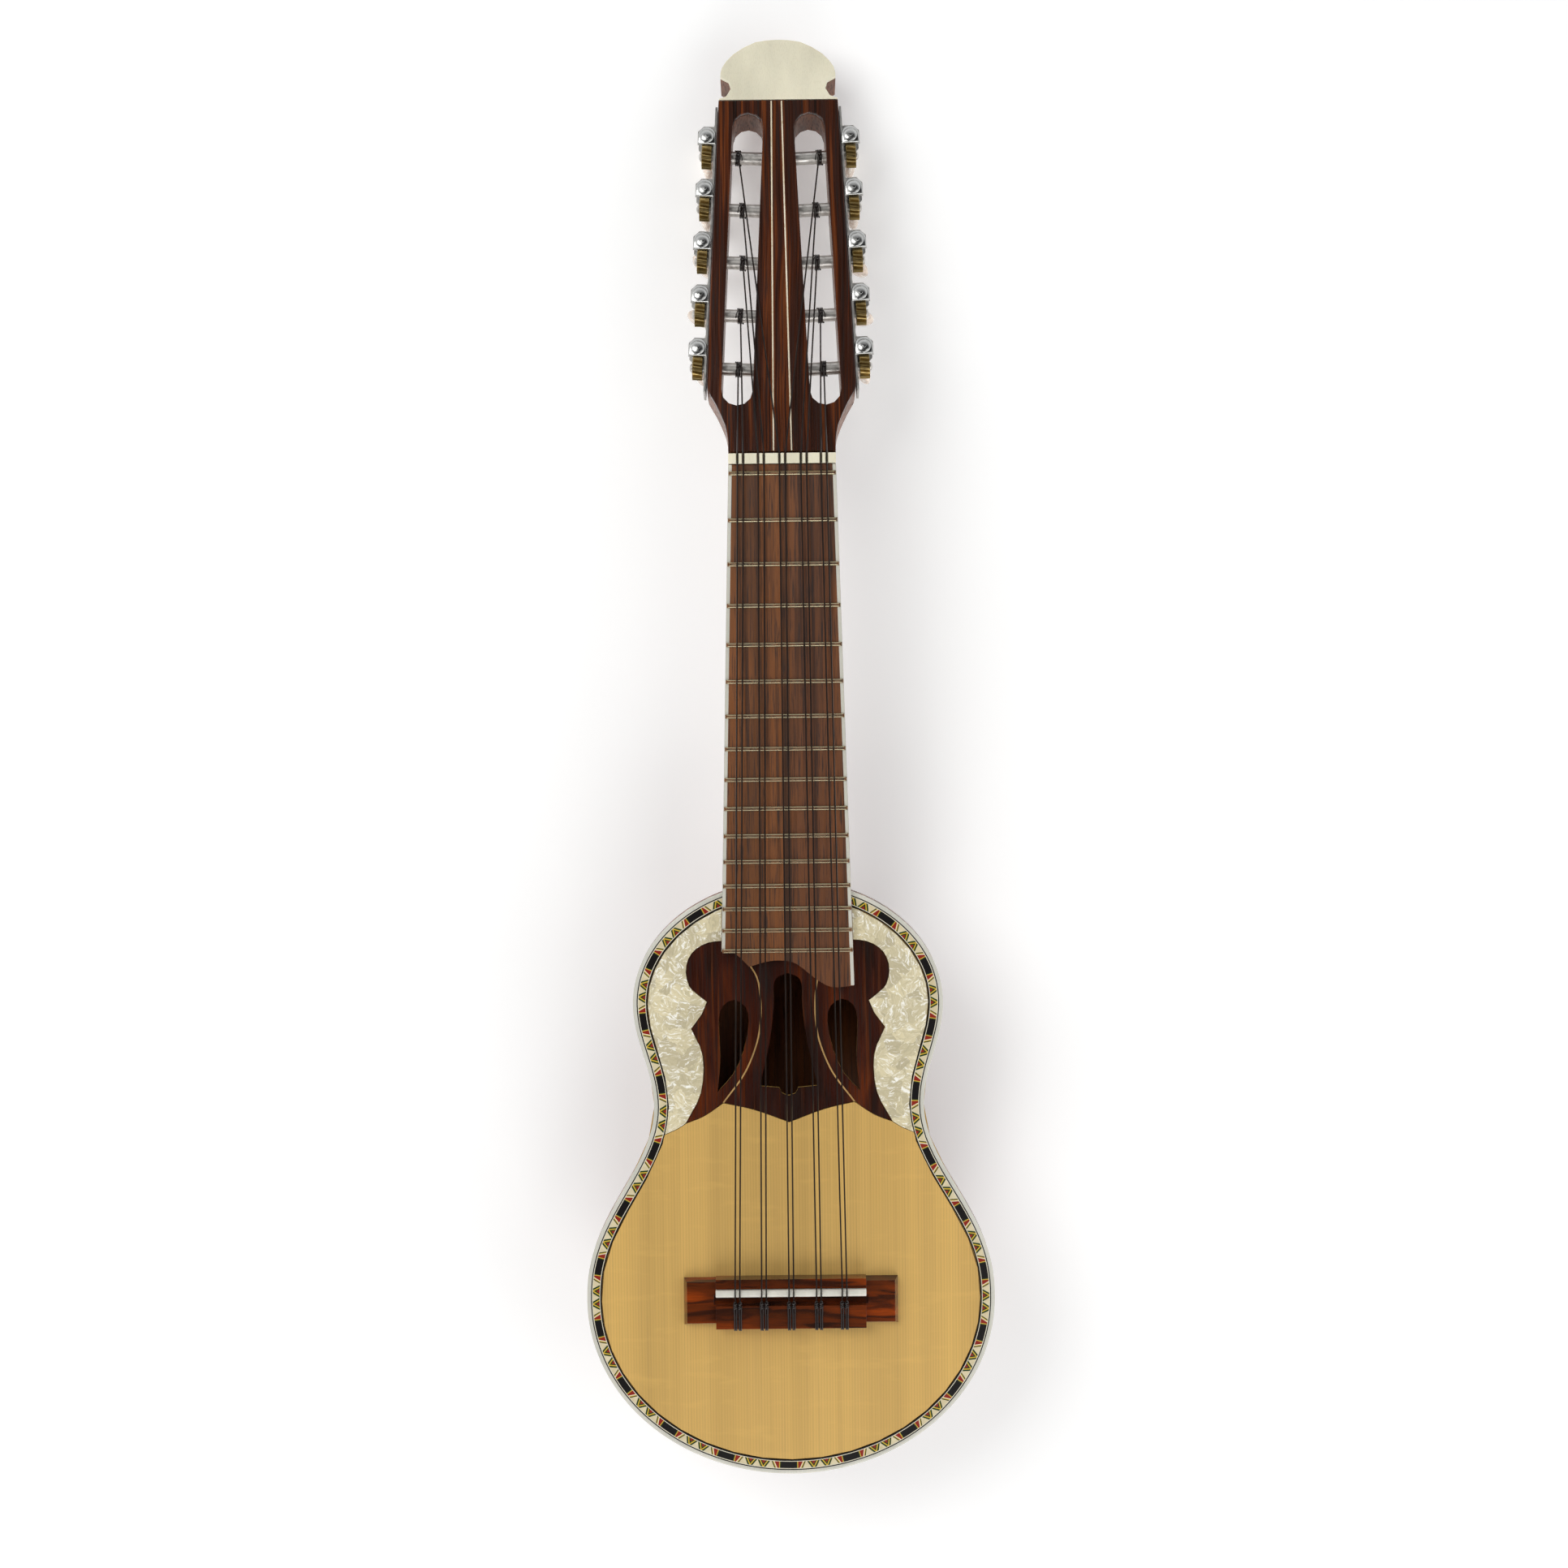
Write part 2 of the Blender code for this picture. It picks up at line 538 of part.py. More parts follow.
def half_edge(inset, low=0.0):
    """The body's right-hand edge moved inwards, from a station up to the fingerboard's side."""
    count = len(body_half_outline())
    kept = []
    last = (0, inset)
    for x, y in body_outline(inset)[1:count + 1]:
        side = neck_half_width(y) + GAP
        if y > UPPER_BOUT_STATION and x < side:
            share = (last[0] - side) / (last[0] - x)
            kept.append((side, last[1] + (y - last[1]) * share))
            break
        if last[1] < low < y:
            kept.append((last[0] + (x - last[0]) * (low - last[1]) / (y - last[1]), low))
        if y > low:
            kept.append((x, y))
        last = (x, y)
    return kept


def make_soundboard():
    """A full layer under the inlays, with spruce up to the surface inside them and under the board."""
    lower = plate(body_outline(), -SOUNDBOARD_THICKNESS, -INLAY_THICKNESS - GAP, "soundboard")
    board = add_object("soundboard", lower, SPRUCE, BODY_FRAME)
    inside = RING_WIDTH + GAP
    end = PEARL_FOOT[-1][1] - GAP
    top = half_edge(inside, end)[0]
    edge = [(0, inside)] + [p for p in half_edge(inside) if p[1] < end] + [top]
    foot = [(x, y - GAP) for x, y in PEARL_FOOT[1:-1] + WING_FOOT[:-1] + BELL_FOOT]
    surface = edge + foot + mirrored((edge + foot)[1:-1])
    bed = [(x, y + GAP) for x, y in BOARD_END]
    high = neck_meets_edge() - MM
    bed = ([(GAP - neck_half_width(high), high), (GAP - neck_half_width(bed[0][1]), bed[0][1])]
           + bed[1:-1] + [(neck_half_width(bed[-1][1]) - GAP, bed[-1][1]),
                          (neck_half_width(high) - GAP, high)])
    for name, points in (("spruce_surface", surface), ("board_bed", bed)):
        layer = plate(points, -INLAY_THICKNESS - 2 * GAP, 0, name)
        boolean(board, add_cutter(name, layer, BODY_FRAME), "UNION")
    cut_sound_holes(board)


def hole_cutters():
    low, high = -SOUNDBOARD_THICKNESS - 2 * MM, 2 * MM
    bell = BELL_HOLE[:-1] + [(-x, y) for x, y in reversed(BELL_HOLE[1:])]
    outlines = {"bell_hole": bell, "leaf_hole_right": LEAF_HOLE, "leaf_hole_left": mirrored(LEAF_HOLE)}
    return {name: add_cutter(name, plate(points, low, high, name), BODY_FRAME)
            for name, points in outlines.items()}


def cut_sound_holes(target):
    for cutter in SOUND_HOLES.values():
        boolean(target, cutter)


def make_rosette():
    """The bell between two wings, with a narrow line between each two."""
    low = -INLAY_THICKNESS
    line = [(x - INLAY_LINE / 2, y) for x, y in INNER_LINE]
    half = BELL_FOOT[::-1][:-1] + line
    bell = half + mirrored(half[1:])
    piece = add_object("rosette_bell", plate(bell, low, 0, "rosette_bell"), ROSEWOOD, BODY_FRAME)
    boolean(piece, BOARD_CLEARANCE)
    boolean(piece, SOUND_HOLES["bell_hole"])
    line = [(x + INLAY_LINE / 2, y) for x, y in INNER_LINE]
    wing = WING_TOP + WING_NOTCH[1:] + WING_SIDE[1:] + WING_FOOT[1:-1] + line
    for side, name in SIDES:
        node = "rosette_wing_" + name
        points = [(side * x, y) for x, y in wing]
        piece = add_object(node, plate(points, low, 0, node), ROSEWOOD, BODY_FRAME)
        boolean(piece, BOARD_CLEARANCE)
        boolean(piece, SOUND_HOLES["leaf_hole_" + name])


def make_pearl_inlays():
    """Pearloid between each wing and the ring."""
    wing = offset_path(WING_TOP + WING_NOTCH[1:] + WING_SIDE[1:], GAP)
    rim = half_edge(RING_WIDTH + GAP, PEARL_FOOT[-1][1])
    points = rim + [(wing[0][0], rim[-1][1])] + wing[:-1] + PEARL_FOOT[:-1]
    for side, name in SIDES:
        node = "pearl_inlay_" + name
        flat = [(side * x, y) for x, y in points]
        piece = add_object(node, plate(flat, -INLAY_THICKNESS, 0, node), PEARLOID, BODY_FRAME)
        boolean(piece, BOARD_CLEARANCE)


def make_ring():
    outer, inner = ([*mirrored(half_edge(inset)), (0, inset), *half_edge(inset)]
                    for inset in (0, RING_WIDTH))
    add_object("rim_ring", plate(outer + inner[::-1], -INLAY_THICKNESS, 0, "rim_ring"),
               RING_MATERIAL, BODY_FRAME)


# ---------------------------------------------------------------- fingerboard, nut, bridge, saddle

def board_outline(gap=0.0):
    top = NUT_STATION - GAP
    end = [(x, y - gap) for x, y in BOARD_END]
    right, left = neck_half_width(end[-1][1]) + gap, neck_half_width(end[0][1]) + gap
    return ([(-left, end[0][1])] + end[1:-1] + [(right, end[-1][1])]
            + [(neck_half_width(top) + gap, top), (-neck_half_width(top) - gap, top)])


def fret_station(number):
    return ZERO_FRET_STATION - SCALE_LENGTH * (1 - 2 ** (-number / 12))


def fret_count():
    """How many frets the board has room for, down to its longer side's end."""
    return sum(fret_station(number) + FRET_WIDTH > BOARD_END[0][1] for number in range(1, 25))


def make_fingerboard():
    """The board with its zero fret and its frets pressed in."""
    board = add_object("fingerboard", plate(board_outline(), GAP, FINGERBOARD_TOP, "fingerboard"),
                       FINGERBOARD_WOOD, BODY_FRAME)
    crown = [(-FRET_WIDTH / 2, -0.6 * MM), (FRET_WIDTH / 2, -0.6 * MM), (FRET_WIDTH / 2, 0.4 * MM),
             (0.4 * MM, FRET_HEIGHT), (-0.4 * MM, FRET_HEIGHT), (-FRET_WIDTH / 2, 0.4 * MM)]
    for number in range(fret_count() + 1):
        station = fret_station(number)
        half = neck_half_width(station) - 0.3 * MM
        across = (Matrix.Translation((0, station, FINGERBOARD_TOP))
                  @ Matrix.Rotation(math.radians(90), 4, "Z") @ Matrix.Rotation(math.radians(90), 4, "X"))
        name = f"fret_{number}"
        boolean(board, add_cutter(name, plate(crown, -half, half, name), BODY_FRAME, across), "UNION")


def string_places(reach, pair_gap):
    return [share * reach + side * pair_gap / 2 for share in COURSE_SHARES for side in (-1, 1)]


def make_nut():
    half = NUT_WIDTH / 2 - 0.1 * MM
    nut = add_object("nut", box((-half, NUT_STATION, GAP),
                                (half, NUT_STATION + NUT_THICKNESS, NUT_TOP), "nut"),
                     IVORY, BODY_FRAME)
    half = STRING_RADIUS + GAP
    for number, x in enumerate(string_places(COURSE_REACH_NUT, PAIR_GAP_NUT), 1):
        name = f"nut_groove_{number}"
        low = (x - half, NUT_STATION - MM, NUT_STRING_HEIGHT - half)
        high = (x + half, NUT_STATION + NUT_THICKNESS + MM, NUT_TOP + 2 * MM)
        boolean(nut, add_cutter(name, box(low, high, name), BODY_FRAME))


def make_bridge():
    """A low bar under a taller block: saddle slot at the front, a groove, and the tie block behind."""
    front = SADDLE_STATION + SADDLE_THICKNESS / 2 + BRIDGE_AHEAD_OF_SADDLE
    back = front - BRIDGE_WIDTH
    half = BRIDGE_LENGTH / 2
    rings = [[(-half + inset, back + inset, height), (half - inset, back + inset, height),
              (half - inset, front - inset, height), (-half + inset, front - inset, height)]
             for inset, height in ((0, GAP), (BRIDGE_SLOPE, GAP + BRIDGE_WING_HEIGHT))]
    bridge = add_object("bridge", loft(rings, "bridge"), BRIDGE_WOOD, BODY_FRAME)
    half = BRIDGE_BLOCK_LENGTH / 2
    block = box((-half, back - BRIDGE_BLOCK_OVERHANG, GAP),
                (half, front + BRIDGE_BLOCK_OVERHANG, GAP + BRIDGE_BLOCK_HEIGHT), "bridge_block")
    boolean(bridge, add_cutter("bridge_block", block, BODY_FRAME), "UNION")
    tie_front = back + TIE_BLOCK_WIDTH
    slot_back = SADDLE_STATION - SADDLE_THICKNESS / 2 - GAP
    groove = box((-half - MM, tie_front, GAP + TIE_GROOVE_FLOOR),
                 (half + MM, slot_back, BRIDGE_BLOCK_HEIGHT + MM), "tie_groove")
    boolean(bridge, add_cutter("tie_groove", groove, BODY_FRAME))
    slot = box((-half - MM, slot_back - MM / 10, BRIDGE_BLOCK_HEIGHT - SADDLE_SLOT_DEPTH),
               (half + MM, slot_back + SADDLE_THICKNESS + 2 * GAP, BRIDGE_BLOCK_HEIGHT + MM),
               "saddle_slot")
    boolean(bridge, add_cutter("saddle_slot", slot, BODY_FRAME))
    for number, x in enumerate(string_places(COURSE_REACH_SADDLE, PAIR_GAP_SADDLE), 1):
        name = f"tie_hole_{number}"
        lie = Matrix.Translation((x, 0, TIE_HOLE_HEIGHT)) @ Matrix.Rotation(math.radians(-90), 4, "X")
        hole = cylinder(TIE_HOLE_DIAMETER / 2, back - 2 * MM, tie_front + MM, name, 6)
        boolean(bridge, add_cutter(name, hole, BODY_FRAME, lie))
    return back, tie_front


def make_saddle():
    half = BRIDGE_BLOCK_LENGTH / 2
    low = GAP + BRIDGE_BLOCK_HEIGHT - SADDLE_SLOT_DEPTH
    edge = SADDLE_THICKNESS / 2
    profile = [(-edge, low), (edge, low), (edge, SADDLE_TOP - 0.7 * MM), (edge * 0.5, SADDLE_TOP),
               (-edge * 0.5, SADDLE_TOP), (-edge, SADDLE_TOP - 0.7 * MM)]
    across = (Matrix.Translation((0, SADDLE_STATION, 0))
              @ Matrix.Rotation(math.radians(90), 4, "Z") @ Matrix.Rotation(math.radians(90), 4, "X"))
    add_object("saddle", plate(profile, -half, half, "saddle"), BONE, BODY_FRAME, across)


# ---------------------------------------------------------------- neck and head

def head_half_outline():
    """Right edge of the head from the nut to the top: shoulder, straight side, notch, crown."""
    start = NUT_WIDTH / 2
    shoulder = smooth([(start, 5 * MM), (start + 1.2 * MM, 13 * MM), (start + 5.6 * MM, 23.4 * MM),
                       (HEAD_SHOULDER[0] - 0.6 * MM, HEAD_SHOULDER[1] - 4.2 * MM), HEAD_SHOULDER], 2)
    width, top = HEAD_TOP
    notch = [(width - 0.2 * MM, top + 1 * MM), (width - 3.6 * MM, top + 2.2 * MM),
             (width - 5.7 * MM, top + 5.8 * MM), (width - 4.7 * MM, top + 9.2 * MM),
             (width - 0.9 * MM, top + 11.3 * MM)]
    crown = smooth([(width - 0.9 * MM, top + 11.3 * MM), (width - 1.6 * MM, top + 16.2 * MM),
                    (width - 6.9 * MM, top + 22.8 * MM), (width - 17 * MM, HEAD_LENGTH - 1.2 * MM),
                    (0, HEAD_LENGTH)], 2)[1:]
    return shoulder, notch, crown


def head_slot(side, name, parent, low, high):
    """A cutter for one slot: straight sides parallel to the head's side, with round ends."""
    radius = SLOT_WIDTH / 2
    points = []
    for end, start in ((SLOT_ENDS[1] - radius, 0), (SLOT_ENDS[0] + radius, 180)):
        for k in range(7):
            turn = math.radians(start + 30 * k)
            spot = side_point(1, -SLOT_WALL - radius + radius * math.cos(turn),
                              end + radius * math.sin(turn))
            points.append((side * spot.x, spot.y))
    return add_cutter(name, plate(points, low, high, name), parent)


def neck_section(station, depth, power):
    """A D-shaped section: flat on top, a superellipse under it."""
    half = neck_half_width(station)
    ring = []
    steps = 12
    for k in range(steps + 1):
        turn = math.pi * k / steps
        across, down = math.cos(turn), math.sin(turn)
        ring.append((half * math.copysign(abs(across) ** (2 / power), across), station,
                     -depth * down ** (2 / power)))
    return ring


def make_neck():
    """Shaft and heel, with the head spliced on, and the tenon that enters the body."""
    end = HEAD_STATION - GAP
    sections = [(BODY_LENGTH - 14 * MM, HEEL_DEPTH, 1.8), (BODY_LENGTH + 1 * MM, HEEL_DEPTH - 2 * MM, 1.8),
                (BODY_LENGTH + 10 * MM, HEEL_DEPTH - 12 * MM, 1.8),
                (BODY_LENGTH + 20 * MM, NECK_DEPTH + 8 * MM, 1.9),
                (BODY_LENGTH + 32 * MM, NECK_DEPTH + 3.5 * MM, 2),
                (BODY_LENGTH + 50 * MM, NECK_DEPTH + 2 * MM, 2),
                (end - 22 * MM, NECK_DEPTH, 2.1), (end - 9 * MM, NECK_DEPTH + 0.6 * MM, 2.8),
                (end, NECK_DEPTH + 1.5 * MM, 4.5)]
    neck = add_object("neck", loft([neck_section(*row) for row in sections], "neck"), CEDAR, BODY_FRAME)
    heel_bed = add_cutter("heel_bed", bowl_solid("heel_bed", -GAP, BODY_DEPTH + GAP, 5 * MM), BODY_FRAME)
    boolean(neck, heel_bed)
    half = TENON_WIDTH / 2
    tenon = box((-half, TENON_STATION, RIM_HEIGHT - GAP - TENON_DEPTH),
                (half, BODY_LENGTH + 8 * MM, RIM_HEIGHT - GAP), "tenon")
    boolean(neck, add_cutter("tenon", tenon, BODY_FRAME), "UNION")
    shoulder, notch, crown = head_half_outline()
    half_head = [(NUT_WIDTH / 2, -1.5 * MM)] + shoulder + notch + crown
    outline = half_head + mirrored(half_head[:-1])
    core = plate(outline, -HEAD_THICKNESS, -HEAD_VENEER - GAP, "head_core")
    boolean(neck, add_cutter("head_core", core, HEAD_FRAME), "UNION")
    for side, name in SIDES:
        boolean(neck, HEAD_SLOTS[name])
        for index in range(TUNERS_PER_SIDE):
            hole_name = f"roller_hole_{name}_{index + 1}"
            hole = cylinder(ROLLER_DIAMETER / 2 + GAP, -ROLLER_REACH - GAP, 2 * MM, hole_name, 10)
            boolean(neck, add_cutter(hole_name, hole, HEAD_FRAME, outward_matrix(side, index)))


def outward_matrix(side, index):
    """Placement whose Z axis points out of the head's side along a roller's axis."""
    place = side_point(side, 0, roller_along(index), -ROLLER_DEPTH)
    return (Matrix.Translation(place) @ side_turn(side)
            @ Matrix.Rotation(math.radians(90 * side), 4, "Y"))


def make_head_faces():
    """Rosewood over the slots, and the ivory crest plate above it."""
    shoulder, notch, crown = head_half_outline()
    start = HEAD_FACE_START
    half = [(NUT_WIDTH / 2, start)] + shoulder + [HEAD_TOP]
    outline = half + mirrored(half)
    veneer = add_object("head_veneer", plate(outline, -HEAD_VENEER, 0, "head_veneer"), VENEER, HEAD_FRAME)
    for side, name in SIDES:
        boolean(veneer, HEAD_SLOTS[name])
    half = [(HEAD_TOP[0], HEAD_TOP[1] + GAP)] + notch + crown
    outline = half + mirrored(half[:-1])
    add_object("head_crest", plate(outline, -HEAD_VENEER, 0, "head_crest"), IVORY, HEAD_FRAME)


# ---------------------------------------------------------------- tuners

def worm_mesh():
    """Shaft along Z with its thread about the origin, the end cap in front and the button behind."""
    front = LUG_SPREAD + LUG_THICKNESS + GAP
    top = front + 1.3 * MM
    button_top = -(SHAFT_BEHIND_FACE - ROLLER_DEPTH)
    journal = WORM_ROOT_RADIUS
    profile = [(0, top), (CAP_RADIUS * 0.6, top - 0.2 * MM), (CAP_RADIUS, top - 0.8 * MM),
               (CAP_RADIUS, front), (journal, front), (journal, button_top - 3 * MM),
               (0, button_top - 3 * MM)]
    shaft = add_object("worm_shaft", turned(profile, "worm_shaft", 8), STEEL, None)
    steps = 8
    work = bmesh.new()
    rows = []
    for k in range(round(WORM_TURNS * steps) + 1):
        turns = k / steps - WORM_TURNS / 2
        turn = Matrix.Rotation(2 * math.pi * turns, 4, "Z")
        height = turns * WORM_LEAD
        rows.append([work.verts.new(turn @ Vector((radius, 0, height + across))) for radius, across in (
            (journal - 0.4 * MM, -THREAD_FOOT), (WORM_TIP_RADIUS, -THREAD_CREST),
            (WORM_TIP_RADIUS, THREAD_CREST), (journal - 0.4 * MM, THREAD_FOOT))])
    for lower, upper in zip(rows, rows[1:]):
        for i in range(4):
            j = (i + 1) % 4
            work.faces.new((lower[i], lower[j], upper[j], upper[i]))
    work.faces.new(rows[0])
    work.faces.new(rows[-1])
    thread = add_cutter("worm_thread", mesh_from(work, "worm_thread"), None)
    boolean(shaft, thread, "UNION")
    work = bmesh.new()
    bmesh.ops.create_uvsphere(work, u_segments=8, v_segments=6, radius=0.5)
    shape = Matrix.LocRotScale((0, 0, button_top - BUTTON_LENGTH / 2), None,
                               (BUTTON_WIDTH, BUTTON_THICKNESS, BUTTON_LENGTH))
    bmesh.ops.transform(work, matrix=shape, verts=work.verts)
    button = add_cutter("button", mesh_from(work, "button"), None)
    boolean(shaft, button, "UNION")
    mesh = baked(shaft, "worm_and_button")
    for spare in (thread, button):
        bpy.data.objects.remove(spare, do_unlink=True)
    return mesh


def gear_mesh():
    """A toothed wheel about Z, its teeth leaning as the worm's thread does."""
    lean = WORM_LEAD / (2 * math.pi * WORM_PITCH_RADIUS) / GEAR_PITCH_RADIUS
    half = GEAR_THICKNESS / 2
    rings = []
    for height in (-half, half):
        ring = []
        for tooth in range(GEAR_TEETH):
            middle = 2 * math.pi * (tooth + 0.5) / GEAR_TEETH + lean * height
            for radius, across in ((GEAR_ROOT_RADIUS, -TOOTH_FOOT), (GEAR_TIP_RADIUS, -TOOTH_CREST),
                                   (GEAR_TIP_RADIUS, TOOTH_CREST), (GEAR_ROOT_RADIUS, TOOTH_FOOT)):
                turn = middle + across / radius
                ring.append((radius * math.cos(turn), radius * math.sin(turn), height))
        rings.append(ring)
    wheel = add_object("wheel", loft(rings, "wheel"), BRASS, None)
    bore = add_cutter("bore", cylinder(SPINDLE_DIAMETER / 2 + GAP, -half - MM, half + MM, "bore", 10), None)
    boolean(wheel, bore)
    mesh = baked(wheel, "gear")
    bpy.data.objects.remove(bore, do_unlink=True)
    return mesh


def roller_mesh():
    """A roller along Z: its barrel lies inwards, below zero, and its spindle outwards."""
    barrel, spindle = ROLLER_DIAMETER / 2, SPINDLE_DIAMETER / 2
    tip = GEAR_OFFSET + GEAR_THICKNESS / 2 + 0.6 * MM
    return turned([(0, tip), (spindle, tip), (spindle, 0), (barrel, 0), (barrel, -ROLLER_REACH),
                   (0, -ROLLER_REACH)], "roller", 12)


def make_tuners():
    worm, gear, roller = worm_mesh(), gear_mesh(), roller_mesh()
    for mesh, look in ((worm, STEEL), (gear, BRASS), (roller, STEEL)):
        mesh.materials.clear()
        mesh.materials.append(look)
    for side, name in SIDES:
        for index in range(TUNERS_PER_SIDE):
            tag = f"{name}_{index + 1}"
            turned_by = math.radians(BUTTON_TURNS[index])
            add_object("string_roller_" + tag, roller, STEEL, HEAD_FRAME, outward_matrix(side, index))
            along = roller_along(index)
            middle = side_point(side, GEAR_OFFSET, along, -ROLLER_DEPTH)
            axes = Matrix(((0, 0, 1), (1, 0, 0), (0, 1, 0))).to_4x4()  # Z to the side, X to the crest
            add_object("gear_" + tag, gear, BRASS, HEAD_FRAME, Matrix.Translation(middle)
                       @ side_turn(side) @ axes @ Matrix.Rotation(-turned_by / GEAR_TEETH, 4, "Z"))
            axle = side_point(side, GEAR_OFFSET, along + CENTRE_DISTANCE, -ROLLER_DEPTH)
            add_object("tuning_worm_" + tag, worm, STEEL, HEAD_FRAME, Matrix.Translation(axle)
                       @ side_turn(side) @ Matrix.Rotation(turned_by - math.pi / 2, 4, "Z"))


def make_tuner_plates():
    """A plate along each side of the head, with two lugs round every worm shaft."""
    lug_low, lug_high = LUG_SPREAD, LUG_SPREAD + LUG_THICKNESS
    reach = GEAR_OFFSET + CAP_RADIUS + 1.2 * MM
    for side, name in SIDES:
        # In this frame X points out of the head's side, Y runs to the crest on the right and to
        # the nut on the left, and Z is square to the head's face.
        start, end = PLATE_ENDS
        frame = Matrix.Translation(side_point(side, 0, 0, -ROLLER_DEPTH)) @ side_turn(side)
        if side < 0:
            frame = frame @ Matrix.Rotation(math.pi, 4, "Z")
        node = "tuner_plate_" + name
        ends = sorted((side * start, side * end))
        body = box((GAP, ends[0], -lug_high), (GAP + PLATE_THICKNESS, ends[1], lug_high), node)
        strip = add_object(node, body, STEEL, HEAD_FRAME, frame)
        for index in range(TUNERS_PER_SIDE):
            along = roller_along(index)
            worm = along + CENTRE_DISTANCE
            near, far = worm - CAP_RADIUS - 0.4 * MM, worm + CAP_RADIUS + 2 * MM
            lug = [(GAP, near), (reach - 2 * MM, near), (reach, near + 2 * MM), (reach, far - 2.6 * MM),
                   (reach - 2.6 * MM, far), (GAP, far)]
            lug = [(x, side * y) for x, y in lug]
            for low, high, where in ((lug_low, lug_high, "front"), (-lug_high, -lug_low, "back")):
                cut_name = f"lug_{where}_{name}_{index + 1}"
                boolean(strip, add_cutter(cut_name, plate(lug, low, high, cut_name), HEAD_FRAME, frame),
                        "UNION")
            cut_name = f"shaft_hole_{name}_{index + 1}"
            shaft = cylinder(WORM_ROOT_RADIUS + GAP, -lug_high - MM, lug_high + MM, cut_name, 10)
            at_worm = frame @ Matrix.Translation((GEAR_OFFSET, side * worm, 0))
            boolean(strip, add_cutter(cut_name, shaft, HEAD_FRAME, at_worm))
            cut_name = f"spindle_hole_{name}_{index + 1}"
            spindle = cylinder(SPINDLE_DIAMETER / 2 + GAP, -MM, 3 * MM, cut_name, 10)
            boolean(strip, add_cutter(cut_name, spindle, HEAD_FRAME, outward_matrix(side, index)))


# ---------------------------------------------------------------- strings

def make_string(number, nut_x, saddle_x, side, index, tie):
    """From the tie block over the saddle, the zero fret and the nut, and down onto its roller."""
    back, tie_front = tie
    slot_x = side_point(side, -SLOT_WALL - SLOT_WIDTH / 2 + SLOT_LANES[index], roller_along(index)).x
    on_roller = HEAD_FRAME.matrix_local @ Vector((
        slot_x, FIRST_ROLLER + index * ROLLER_PITCH,
        -ROLLER_DEPTH + ROLLER_DIAMETER / 2 + GAP + STRING_RADIUS))
    saddle_back = SADDLE_STATION - SADDLE_THICKNESS / 2
    points = [(saddle_x, back - MM, TIE_HOLE_HEIGHT), (saddle_x, tie_front + 0.4 * MM, TIE_HOLE_HEIGHT),
              (saddle_x, saddle_back, STRING_AT_SADDLE - 0.1 * MM),
              (saddle_x, SADDLE_STATION + SADDLE_THICKNESS / 2, STRING_AT_SADDLE),
              (nut_x, ZERO_FRET_STATION, STRING_AT_ZERO),
              (nut_x, NUT_STATION + NUT_THICKNESS, NUT_STRING_HEIGHT), tuple(on_roller)]
    curve = bpy.data.curves.new(f"string_{number}", "CURVE")
    curve.dimensions = "3D"
    curve.bevel_depth = STRING_RADIUS
    curve.bevel_resolution = 1
    curve.use_fill_caps = True
    path = curve.splines.new("POLY")
    path.points.add(len(points) - 1)
    for spot, point in zip(path.points, points):
        spot.co = (*point, 1)
    made = bpy.data.objects.new(f"string_{number}", curve)
    CHARANGO.objects.link(made)
    made.parent = BODY_FRAME
    curve.materials.append(NYLON)


def make_strings(tie):
    """The outer courses go to the rollers nearest the nut; five strings wind on each side."""
    nut = string_places(COURSE_REACH_NUT, PAIR_GAP_NUT)
    saddle = string_places(COURSE_REACH_SADDLE, PAIR_GAP_SADDLE)
    for number in range(2 * TUNERS_PER_SIDE):
        side = -1 if number < TUNERS_PER_SIDE else 1
        index = number if side < 0 else 2 * TUNERS_PER_SIDE - 1 - number
        make_string(number + 1, nut[number], saddle[number], side, index, tie)


MORTISE = make_mortise()
SOUND_HOLES = hole_cutters()
BOARD_CLEARANCE = add_cutter("board_clearance", plate(board_outline(GAP), -5 * MM, 5 * MM,
                                                      "board_clearance"), BODY_FRAME)
HEAD_SLOTS = {name: head_slot(side, "head_slot_" + name, HEAD_FRAME, -HEAD_THICKNESS - MM, MM)
              for side, name in SIDES}

make_bowl()
make_neck_block()
make_braces()
make_soundboard()
make_rosette()
make_pearl_inlays()
make_ring()
make_fingerboard()
make_nut()
TIE = make_bridge()
make_saddle()
make_neck()
make_head_faces()
make_tuners()
make_tuner_plates()
make_strings(TIE)
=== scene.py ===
"""Charango: the visible finish of the instrument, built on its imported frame, as a Blender add-on."""

import json
import math

import bmesh
import bpy
from mathutils import Matrix, Vector


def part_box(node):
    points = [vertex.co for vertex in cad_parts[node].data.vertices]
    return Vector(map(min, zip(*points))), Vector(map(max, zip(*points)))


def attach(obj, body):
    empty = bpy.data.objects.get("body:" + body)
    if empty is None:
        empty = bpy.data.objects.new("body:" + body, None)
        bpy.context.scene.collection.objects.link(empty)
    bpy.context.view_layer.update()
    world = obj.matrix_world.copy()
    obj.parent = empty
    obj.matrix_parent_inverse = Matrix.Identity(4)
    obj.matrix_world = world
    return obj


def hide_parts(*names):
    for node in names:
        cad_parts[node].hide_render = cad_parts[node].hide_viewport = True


bl_info = {
    "name": "Charango",
    "version": (1, 0, 0),
    "blender": (4, 5, 0),
    "location": "3D View > Sidebar > Charango",
    "description": "Builds the woods, inlays, strings and tuners of a charango on its frame",
    "category": "Add Mesh",
}

